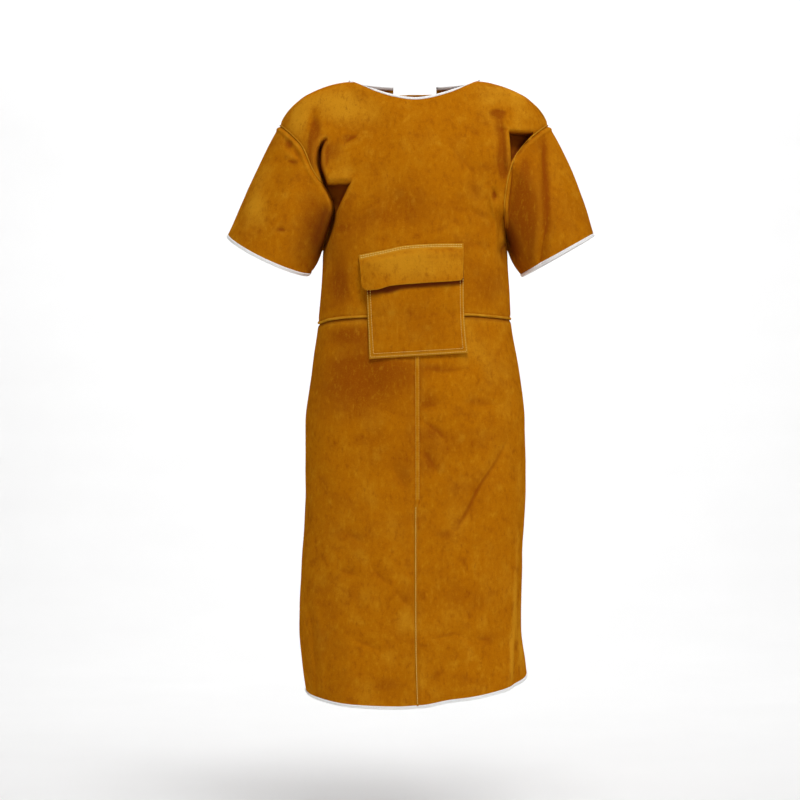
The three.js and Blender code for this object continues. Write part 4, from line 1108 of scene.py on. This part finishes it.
def tape_section(steps=9):
    """Folded tape round a leather edge: a slot for the leather, flat sides and a rounded fold."""
    half = sizes().tape / MM
    slot = half_leather() + TAPE_PLAY
    turns = np.linspace(-np.pi / 2, np.pi / 2, steps)
    fold = [(TAPE_REACH - half * TAPE_FOLD * (1 - math.cos(t)), half * math.sin(t)) for t in turns]
    return [
        (-TAPE_LAP, -half), (TAPE_FLAT, -half), *fold, (TAPE_FLAT, half), (-TAPE_LAP, half),
        (-TAPE_LAP, slot), (TAPE_SLOT_DEPTH, slot), (TAPE_SLOT_DEPTH, -slot), (-TAPE_LAP, -slot),
    ]


def inset_line(grid, normals, edge, distance):
    """Line on a panel at a distance from one edge, with its normals."""
    lines, ups = lines_from(grid, edge), lines_from(normals, edge)
    runs = run_along(lines, 1)
    points = np.array([along_line(distance, run, line) for run, line in zip(runs, lines)])
    up = np.array([along_line(distance, run, line) for run, line in zip(runs, ups)])
    return points, unit(up)


def trimmed(line, start, end):
    """Part of a line between distances from its two ends."""
    points, up = line
    run = run_along(points)
    at = np.linspace(start, run[-1] - end, max(len(points), 2))
    return along_line(at, run, points), unit(along_line(at, run, up))


def stitch_shape():
    """One stitch along X: a thread that rises out of the leather and goes back in."""
    half, radius = sizes().stitch / MM / 2, sizes().thread / MM
    turn = np.linspace(0, 2 * np.pi, STITCH_SIDES, endpoint=False)
    points = [(share * half, rad * radius * math.cos(t), rise * radius + rad * radius * math.sin(t))
              for share, rise, rad in STITCH_RINGS for t in turn]
    return np.array(points), tube_faces(len(STITCH_RINGS), STITCH_SIDES)


def stitches(name, rows, material):
    """All the stitches of some seam rows, as one mesh. Each row is a line, its normals and its height."""
    shape, shape_faces = stitch_shape()
    pitch, half = sizes().pitch / MM, sizes().stitch / MM / 2
    points, faces = [], []
    for line, up, height in rows:
        run = run_along(line)
        count = max(int(run[-1] / pitch), 1)
        at = (np.arange(count) + 0.5) * (run[-1] / count)
        along = unit(along_line(at + half, run, line) - along_line(at - half, run, line))
        side = unit(np.cross(unit(along_line(at, run, up)), along))
        normal = unit(np.cross(along, side))
        base = along_line(at, run, line) + normal * height
        for k in range(count):
            first = len(points)
            placed = base[k] + shape[:, :1] * along[k] + shape[:, 1:2] * side[k] + shape[:, 2:] * normal[k]
            points.extend(placed.tolist())
            faces.extend([first + i for i in f] for f in shape_faces)
    new_piece(name, points, faces, material)


# Materials

class Value:
    """A socket's value, with arithmetic that adds Math nodes."""

    def __init__(self, finish, socket):
        self.finish = finish
        self.socket = socket

    def _math(self, operation, first, second):
        return self.finish.node("ShaderNodeMath", {"operation": operation}, {0: first, 1: second})

    def __add__(self, other):
        return self._math("ADD", self, other)

    def __sub__(self, other):
        return self._math("SUBTRACT", self, other)

    def __mul__(self, other):
        return self._math("MULTIPLY", self, other)

    __radd__ = __add__


class Finish:
    """A procedural material and the nodes that feed its one shader."""

    def __init__(self, name):
        self.material = bpy.data.materials.new(name)
        self.material.use_nodes = True
        self.tree = self.material.node_tree
        self.shader = self.tree.nodes["Principled BSDF"]

    def put(self, socket, value):
        if isinstance(value, Value):
            self.tree.links.new(value.socket, socket)
        else:
            socket.default_value = value

    def node(self, kind, settings=None, inputs=None, output=0):
        node = self.tree.nodes.new(kind)
        for key, value in (settings or {}).items():
            setattr(node, key, value)
        for key, value in (inputs or {}).items():
            self.put(node.inputs[key], value)
        return Value(self, node.outputs[output])

    def noise(self, place, scale, detail=2.0, roughness=0.5, stretch=(1, 1, 1)):
        moved = self.node("ShaderNodeMapping", None, {"Vector": place, "Scale": stretch})
        return self.node("ShaderNodeTexNoise", None, {
            "Vector": moved, "Scale": scale, "Detail": detail, "Roughness": roughness})

    def ramp(self, value, low, high):
        return self.node("ShaderNodeMapRange", {"interpolation_type": "SMOOTHSTEP"}, {
            "Value": value, "From Min": low, "From Max": high})

    def blend(self, first, second, share):
        """Colour between two colours."""
        def colour(c):
            return c if isinstance(c, Value) else (*c, 1)
        return self.node("ShaderNodeMix", {"data_type": "RGBA"}, {
            "Factor": share, 6: colour(first), 7: colour(second)}, output=2)

    def bump(self, height, distance, strength=1.0, normal=None):
        inputs = {"Height": height, "Distance": distance, "Strength": strength}
        if normal is not None:
            inputs["Normal"] = normal
        return self.node("ShaderNodeBump", None, inputs)

    def shade(self, **sockets):
        for key, value in sockets.items():
            self.put(self.shader.inputs[key.replace("_", " ")], value)
        return self.material


def new_finish(name):
    """The colours, a new finish and its place in the object."""
    finish = Finish(name)
    return colours(), finish, finish.node("ShaderNodeTexCoord", output="Object")


@lru_cache(None)
def suede():
    """Napped split leather: smoky patches with painted shade, a mottled nap, painted shade in creases,
    painted highlight on ridges, lighter patches of rubbed nap with painted highlight, and pale cut edges.
    """
    c, f, place = new_finish("suede")
    edge, hollow, patches, shade = (
        f.node("ShaderNodeAttribute", {"attribute_name": name}, output="Fac")
        for name in ("cut_edge", "hollow", "patches", "shade"))
    broad = f.noise(place, 9.0, 5.0, 0.62, (1.0, 1.0, 1.4))
    other = f.noise(place, 13.0, 4.0, 0.6, (1.3, 1.0, 0.8))
    mottle = f.noise(place, 34.0, 5.0, 0.65)
    flecks = f.noise(place, 110.0, 4.0, 0.65, (1.3, 1.0, 0.7))
    nap = f.noise(place, 420.0, 4.0, 0.7)
    fibre = f.noise(place, 1500.0, 2.0, 0.6)
    # Painted shade rides with the smoky tone, and painted highlight with the rubbed nap, as the patches table
    # gives them
    smoke_and_shade = patches + broad * 0.6 + mottle * 0.6
    rub_and_highlight = other * 0.6 + mottle * 0.6 - patches
    low, high = (0.48, 0.26), (0.52, 0.76)
    colour = c.suede
    for tint, pattern, span, share in (
        (c.deep, broad, (0.46, 0.80), 0.5), (c.bright, other, (0.48, 0.80), 0.45),
        (c.deep, mottle, low, 0.5), (c.bright, mottle, high, 0.5),
        (c.deep, smoke_and_shade, (0.65, 1.45), 0.8), (c.bright, rub_and_highlight, (0.65, 1.45), 0.75),
        (c.deep, flecks, low, 0.5), (c.bright, flecks, high, 0.4),
        (c.deep, nap, low, 0.4), (c.bright, nap, high, 0.35),
        # Painted shade darkens the hollows and creases, and painted highlight lightens the ridges
        (c.deep, hollow, (0.05, 0.9), 0.7), (c.bright, hollow, (-0.1, -0.9), 0.2),
    ):
        colour = f.blend(colour, tint, f.ramp(pattern, *span) * share)
    colour = f.blend(colour, c.edge, edge * 0.55)
    # Painted shade: the crease colour laid where a fold, the flap or the waist welt shuts out the light
    colour = f.blend(colour, c.crease, shade)
    pores = f.bump(nap * 0.7 + fibre * 0.3, 0.0007, 0.55)
    normal = f.bump(mottle, 0.0015, 0.3, pores)
    return f.shade(
        Base_Color=colour, Roughness=0.9 + nap * 0.08, Normal=normal,
        Specular_IOR_Level=0.0, Sheen_Weight=0.03, Sheen_Roughness=0.6, Sheen_Tint=(1.0, 0.45, 0.05, 1))


@lru_cache(None)
def welt_leather(flat=0.0):
    """Rolled strip of the same leather, paler where it stands proud and less so where it lies flat."""
    c, f, place = new_finish("welt")
    mottle = f.ramp(f.noise(place, 60.0, 4.0, 0.6), 0.35, 0.7)
    nap = f.noise(place, 600.0, 3.0, 0.65)
    colour = f.blend(c.welt, c.suede, mottle * 0.6 + flat)
    colour = f.blend(colour, c.deep, f.ramp(nap, 0.5, 0.25) * 0.3)
    return f.shade(Base_Color=colour, Roughness=0.86 + nap * 0.1, Normal=f.bump(nap, 0.0006, 0.5),
                   Specular_IOR_Level=0.0)


@lru_cache(None)
def woven_tape():
    """White woven tape with a fine rib along its length."""
    c, f, place = new_finish("binding")
    run = f.node("ShaderNodeUVMap", {"uv_map": "UVMap"})
    rib, cross = (
        f.node("ShaderNodeTexWave", {"bands_direction": way},
               {"Vector": run, "Scale": scale, "Distortion": 0.6})
        for way, scale in (("X", 300.0), ("Y", 380.0)))
    soil = f.ramp(f.noise(place, 18.0, 3.0), 0.5, 0.8)
    colour = f.blend(c.tape, c.soil, soil * 0.35)
    weave = f.bump(rib * 0.5 + cross * 0.5, 0.0003, 0.35)
    return f.shade(Base_Color=colour, Roughness=0.82 + rib * 0.1, Normal=weave, Specular_IOR_Level=0.2)


@lru_cache(None)
def sewing_thread(worn=0.0):
    """Pale sewing thread with a twist, browned by its share of wear."""
    c, f, place = new_finish("thread")
    shade = f.noise(place, 300.0, 2.0)
    colour = f.blend(c.thread, c.edge, f.ramp(shade, 0.45, 0.75) * 0.5)
    colour = f.blend(colour, c.bright, worn)
    twist = f.bump(f.noise(place, 2400.0), 0.0003, 0.5)
    return f.shade(Base_Color=colour, Roughness=0.7 + shade * 0.1, Normal=twist, Specular_IOR_Level=0.25)


@lru_cache(None)
def binding_thread():
    """White thread of the bindings."""
    c, f, place = new_finish("white_thread")
    shade = f.noise(place, 300.0, 2.0)
    colour = f.blend(c.tape, c.old_thread, f.ramp(shade, 0.4, 0.75) * 0.5)
    return f.shade(Base_Color=colour, Roughness=0.75 + shade * 0.1)


@lru_cache(None)
def clasp_plastic():
    """Dull black moulded plastic."""
    c, f, place = new_finish("clasp")
    grain = f.noise(place, 900.0, 3.0, 0.6)
    worn = f.ramp(f.noise(place, 40.0, 3.0), 0.5, 0.8)
    colour = f.blend(c.clasp, c.worn_clasp, worn * 0.6)
    return f.shade(Base_Color=colour, Roughness=0.48 + worn * 0.15, Normal=f.bump(grain, 0.0002, 0.4))


# Operators

class APRON_OT_bodice(bpy.types.Operator):
    """Make the chest panel and the two back halves"""

    bl_idname = "apron.bodice"
    bl_label = "Bodice"

    def execute(self, context):
        grid, shade = front_grid()
        panel("bodice_front", grid, shade=shade)
        for side, sign in SIDES:
            panel(f"bodice_back_{side}", back_grid(sign))
        return {"FINISHED"}


class APRON_OT_skirt(bpy.types.Operator):
    """Make the two halves of the skirt"""

    bl_idname = "apron.skirt"
    bl_label = "Skirt"

    def execute(self, context):
        for side, sign in SIDES:
            grid = skirt_grid(sign)
            panel(f"skirt_{side}", grid, shade=waist_shade(grid))
        return {"FINISHED"}


class APRON_OT_sleeves(bpy.types.Operator):
    """Make the two short sleeves"""

    bl_idname = "apron.sleeves"
    bl_label = "Sleeves"

    def execute(self, context):
        for side, sign in SIDES:
            panel(f"sleeve_{side}", sleeve_grid(sign), wraps=True)
        return {"FINISHED"}


class APRON_OT_pocket(bpy.types.Operator):
    """Lay the pocket and its flap on the front"""

    bl_idname = "apron.pocket"
    bl_label = "Pocket and flap"

    def execute(self, context):
        bag = pocket_grid()
        panel("pocket_bag", bag, held="laid", rests_on=FRONT_WALLS, shade=pocket_shade(bag), darkest=1.0,
              bands=POCKET_BANDS)
        panel("pocket_flap", flap_grid(), held="laid", rests_on=("bodice_front", "pocket_bag"),
              pale_edge=FLAP_PALE, bands=FLAP_BANDS)
        return {"FINISHED"}


class APRON_OT_welts(bpy.types.Operator):
    """Roll the welts of the waist, centre and armhole seams"""

    bl_idname = "apron.welts"
    bl_label = "Seam welts"

    def execute(self, context):
        radius = sizes().welt / MM
        last = [angle_at(WAIST_DROP, form(OPENING, WAIST_DROP), sign, True) for _, sign in SIDES]
        angles = np.linspace(float(last[0]), float(last[1]), WAIST_STATIONS)
        waist = ring(WAIST_DROP, angles)
        outward = unit(waist * (1, 1, 0))
        waist = wandered(waist)
        waist = waist + outward * swell(waist)[:, None]
        sweep("waist_welt", stations_from(waist, outward, False), rounded_section(radius, radius),
              welt_leather(), False)
        centre = centre_line()
        front = np.tile((0.0, -1.0, 0.0), (len(centre), 1))
        line, across, up = stations_from(centre, front, False)
        across = across * mix(1.0, CENTRE_SLIM, smoothstep(-line[:, 2], *CENTRE_CHANGE))[:, None]
        wide, high = CENTRE_WELT
        sweep("center_welt", (line, across, up), rounded_section(radius * wide, radius * high),
              welt_leather(CENTRE_WELT_FLAT), False)
        middle_x, middle_y, middle_z = ARMHOLE_MIDDLE
        thin = rounded_section(radius * ARMHOLE_WELT, radius * ARMHOLE_WELT)
        for side, sign in SIDES:
            loop = armhole(sign, np.linspace(0, ARMHOLE_TURN, ARMHOLE_STATIONS, endpoint=False))
            outward = unit(loop - (sign * middle_x, middle_y, middle_z))
            loop = loop + ARMHOLE_WELT_RISE * outward
            sweep(f"armhole_welt_{side}", stations_from(loop, outward, True), thin,
                  welt_leather(), True)
        return {"FINISHED"}


class APRON_OT_binding(bpy.types.Operator):
    """Fold the white binding over the neck, cuff and hem edges"""

    bl_idname = "apron.binding"
    bl_label = "Edge binding"

    def execute(self, context):
        for node, (edge, inner, closed) in bound_edges().items():
            sweep(node, edge_stations(edge, inner, closed), tape_section(), woven_tape(), closed)
        return {"FINISHED"}


class APRON_OT_straps(bpy.types.Operator):
    """Lay the two closing straps across the back"""

    bl_idname = "apron.straps"
    bl_label = "Back straps"

    def execute(self, context):
        for name, *measures in STRAPS:
            panel(f"{name}_strap", strap_grid(*measures), held="stretched", rests_on=BACK_WALLS)
        return {"FINISHED"}


class APRON_OT_clasps(bpy.types.Operator):
    """Mould the plain clasp of each strap"""

    bl_idname = "apron.clasps"
    bl_label = "Clasps"

    def execute(self, context):
        for name, *_ in STRAPS:
            node = f"{name}_clasp"
            low, high = (np.array(corner, float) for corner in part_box(node))
            bpy.ops.object.select_all(action="DESELECT")
            bpy.ops.mesh.primitive_cube_add(size=1, location=(low + high) / 2)
            piece = context.object
            piece.name = f"{node}_plate"
            piece.scale = high - low
            bpy.ops.object.transform_apply(location=True, rotation=True, scale=True)
            choose(piece, "EDGE", lambda edge: self.depth(piece, edge) > CLASP_EDGE)
            bpy.ops.mesh.bevel(offset=CLASP_CORNER, segments=6, affect="EDGES")
            choose(piece, "FACE", lambda face: face.normal.y > ALIGNED)
            for inset, rise in CLASP_STEPS:
                bpy.ops.mesh.inset(thickness=inset)
                bpy.ops.transform.translate(value=(0, rise, 0))
            bpy.ops.object.mode_set(mode="OBJECT")
            soften = piece.modifiers.new("soft edges", "BEVEL")
            soften.width = CLASP_EDGE
            soften.segments = 2
            bpy.ops.object.modifier_apply(modifier=soften.name)
            bpy.ops.object.shade_smooth_by_angle(angle=CLASP_SMOOTH)
            piece.data.materials.append(clasp_plastic())
            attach(piece, BODY)
            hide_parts(node)
        return {"FINISHED"}

    @staticmethod
    def depth(piece, edge):
        """How far an edge runs from front to back."""
        first, second = (piece.data.vertices[i].co for i in edge.vertices)
        return abs(second.y - first.y)


class APRON_OT_stitches(bpy.types.Operator):
    """Sew the pocket, flap, centre seam, bindings and straps"""

    bl_idname = "apron.stitches"
    bl_label = "Stitches"

    def execute(self, context):
        thread = sewing_thread()
        self.sew_pocket(thread)
        self.sew_centre()
        self.sew_straps(thread)
        self.sew_bindings()
        return {"FINISHED"}

    @staticmethod
    def row(grid, edge, inset, start, end):
        """Row on a panel beside one edge, short of its ends."""
        return (*trimmed(inset_line(grid, grid_normals(grid), edge, inset), start, end), half_leather())

    def sew_pocket(self, thread):
        bag, flap = pocket_grid(), flap_grid()
        rows = []
        for inset in POCKET_ROWS:
            for edge in ("first_column", "last_column"):
                rows.append(self.row(bag, edge, inset, ROW_STOP, inset))
            rows.append(self.row(bag, "last_row", inset, inset, inset))
        stitches("pocket_stitches", rows, sewing_thread(POCKET_WEAR))
        rows = [self.row(flap, "first_row", inset, ROW_STOP, ROW_STOP) for inset in FLAP_ROWS]
        stitches("flap_stitches", rows, thread)

    def sew_centre(self):
        centre = centre_line()
        up = np.tile((0.0, -1.0, 0.0), (len(centre), 1))
        welt = sizes().welt / MM
        upper = -centre[:, 2] < CENTRE_CHANGE[0]
        upper_stops, lower_stops = CENTRE_STOPS
        apart, rise = CENTRE_PAIR
        lines = [(centre[upper] + (side * welt * apart, 0, 0), up[upper]) for side in (-1, 1)]
        pair = [(*trimmed(line, *upper_stops), welt * rise) for line in lines]
        single = (*trimmed((centre[~upper], up[~upper]), *lower_stops), welt * CENTRE_RISE)
        stitches("center_stitches", [single], sewing_thread(CENTRE_WEAR))
        stitches("center_worn_stitches", pair, sewing_thread(PAIR_WEAR))

    def sew_straps(self, thread):
        rows = []
        for _, *measures in STRAPS:
            grid = strap_grid(*measures)
            for edge in ("first_row", "last_row"):
                rows.append(self.row(grid, edge, STRAP_ROW, STRAP_ROW, STRAP_ROW))
            for edge in ("first_column", "last_column"):
                for inset in STRAP_ENDS:
                    rows.append(self.row(grid, edge, inset, STRAP_STOP, STRAP_STOP))
        stitches("strap_stitches", rows, thread)

    def sew_bindings(self):
        rows = []
        for edge, inner, closed in bound_edges().values():
            points, away, up = edge_stations(edge, inner, closed)
            outward = up if (up * points * (1, 1, 0)).sum() > 0 else -up
            line = points + away * BINDING_ROW
            if closed:
                line, outward = np.concatenate([line, line[:1]]), np.concatenate([outward, outward[:1]])
            rows.append((line, outward, sizes().tape / MM - BINDING_SINK))
        stitches("binding_stitches", rows, binding_thread())


class APRON_OT_stage(bpy.types.Operator):
    """Set the floor, backdrop, light and camera"""

    bl_idname = "apron.stage"
    bl_label = "Stage"

    def execute(self, context):
        scene = context.scene
        bpy.ops.object.select_all(action="DESELECT")
        bpy.ops.mesh.primitive_plane_add(size=ROOM_SIZE, location=ROOM_PLACE)
        floor = context.object
        floor.name = "floor"
        bpy.ops.object.transform_apply(location=True, rotation=True, scale=True)
        bpy.ops.object.mode_set(mode="EDIT")
        bpy.ops.mesh.select_mode(type="EDGE")
        bpy.ops.mesh.select_all(action="SELECT")
        bpy.ops.mesh.extrude_edges_move(TRANSFORM_OT_translate={"value": (0, 0, ROOM_HEIGHT)})
        choose(floor, "EDGE", lambda edge: all(floor.data.vertices[i].co.z < 0 for i in edge.vertices))
        bpy.ops.mesh.bevel(offset=ROOM_COVE, segments=14, affect="EDGES")
        bpy.ops.object.mode_set(mode="OBJECT")
        bpy.ops.object.shade_smooth()
        c, f, place = new_finish("floor")
        colour = f.blend(c.floor, tuple(FLOOR_SHADE * v for v in c.floor), f.noise(place, 3.0, 2.0))
        floor.data.materials.append(f.shade(Base_Color=colour, Roughness=0.9))

        world = bpy.data.worlds.new("studio")
        scene.world = world
        world.use_nodes = True
        background = world.node_tree.nodes["Background"].inputs
        background["Color"].default_value = (1, 1, 1, 1)
        background["Strength"].default_value = WORLD_LIGHT
        for name, place, aim, size, power in LAMPS:
            lamp = bpy.data.lights.new(name, "AREA")
            lamp.size = size
            lamp.energy = power
            light = bpy.data.objects.new(name, lamp)
            light.location = place
            light.rotation_euler = (Vector(aim) - Vector(place)).to_track_quat("-Z", "Y").to_euler()
            scene.collection.objects.link(light)
        camera = bpy.data.objects.new("camera", bpy.data.cameras.new("camera"))
        camera.location = CAMERA_PLACE
        camera.rotation_euler = (math.pi / 2, 0, 0)
        camera.data.lens = CAMERA_LENS
        camera.data.sensor_width = SENSOR_WIDTH
        scene.collection.objects.link(camera)
        scene.camera = camera
        scene.view_settings.view_transform = "Standard"
        return {"FINISHED"}


class APRON_PT_panel(bpy.types.Panel):
    """Pieces of the apron"""

    bl_idname = "APRON_PT_panel"
    bl_label = "Leather Welding Apron"
    bl_space_type = "VIEW_3D"
    bl_region_type = "UI"
    bl_category = "Apron"

    def draw(self, context):
        for group in (sizes(), colours()):
            for key in group.bl_rna.properties.keys():
                if key not in ("rna_type", "name"):
                    self.layout.prop(group, key)
        for operator in OPERATORS:
            self.layout.operator(operator.bl_idname)


OPERATORS = (
    APRON_OT_stage, APRON_OT_bodice, APRON_OT_skirt, APRON_OT_sleeves, APRON_OT_pocket, APRON_OT_welts,
    APRON_OT_binding, APRON_OT_straps, APRON_OT_clasps, APRON_OT_stitches,
)
CLASSES = (ApronSizes, ApronColours, *OPERATORS, APRON_PT_panel)


def register():
    for cls in CLASSES:
        bpy.utils.register_class(cls)
    bpy.types.Scene.apron_sizes = PointerProperty(type=ApronSizes)
    bpy.types.Scene.apron_colours = PointerProperty(type=ApronColours)


def unregister():
    del bpy.types.Scene.apron_colours
    del bpy.types.Scene.apron_sizes
    for cls in reversed(CLASSES):
        bpy.utils.unregister_class(cls)


def main():
    register()
    for operator in OPERATORS:
        group, name = operator.bl_idname.split(".")
        getattr(getattr(bpy.ops, group), name)()


if __name__ == "__main__":
    main()
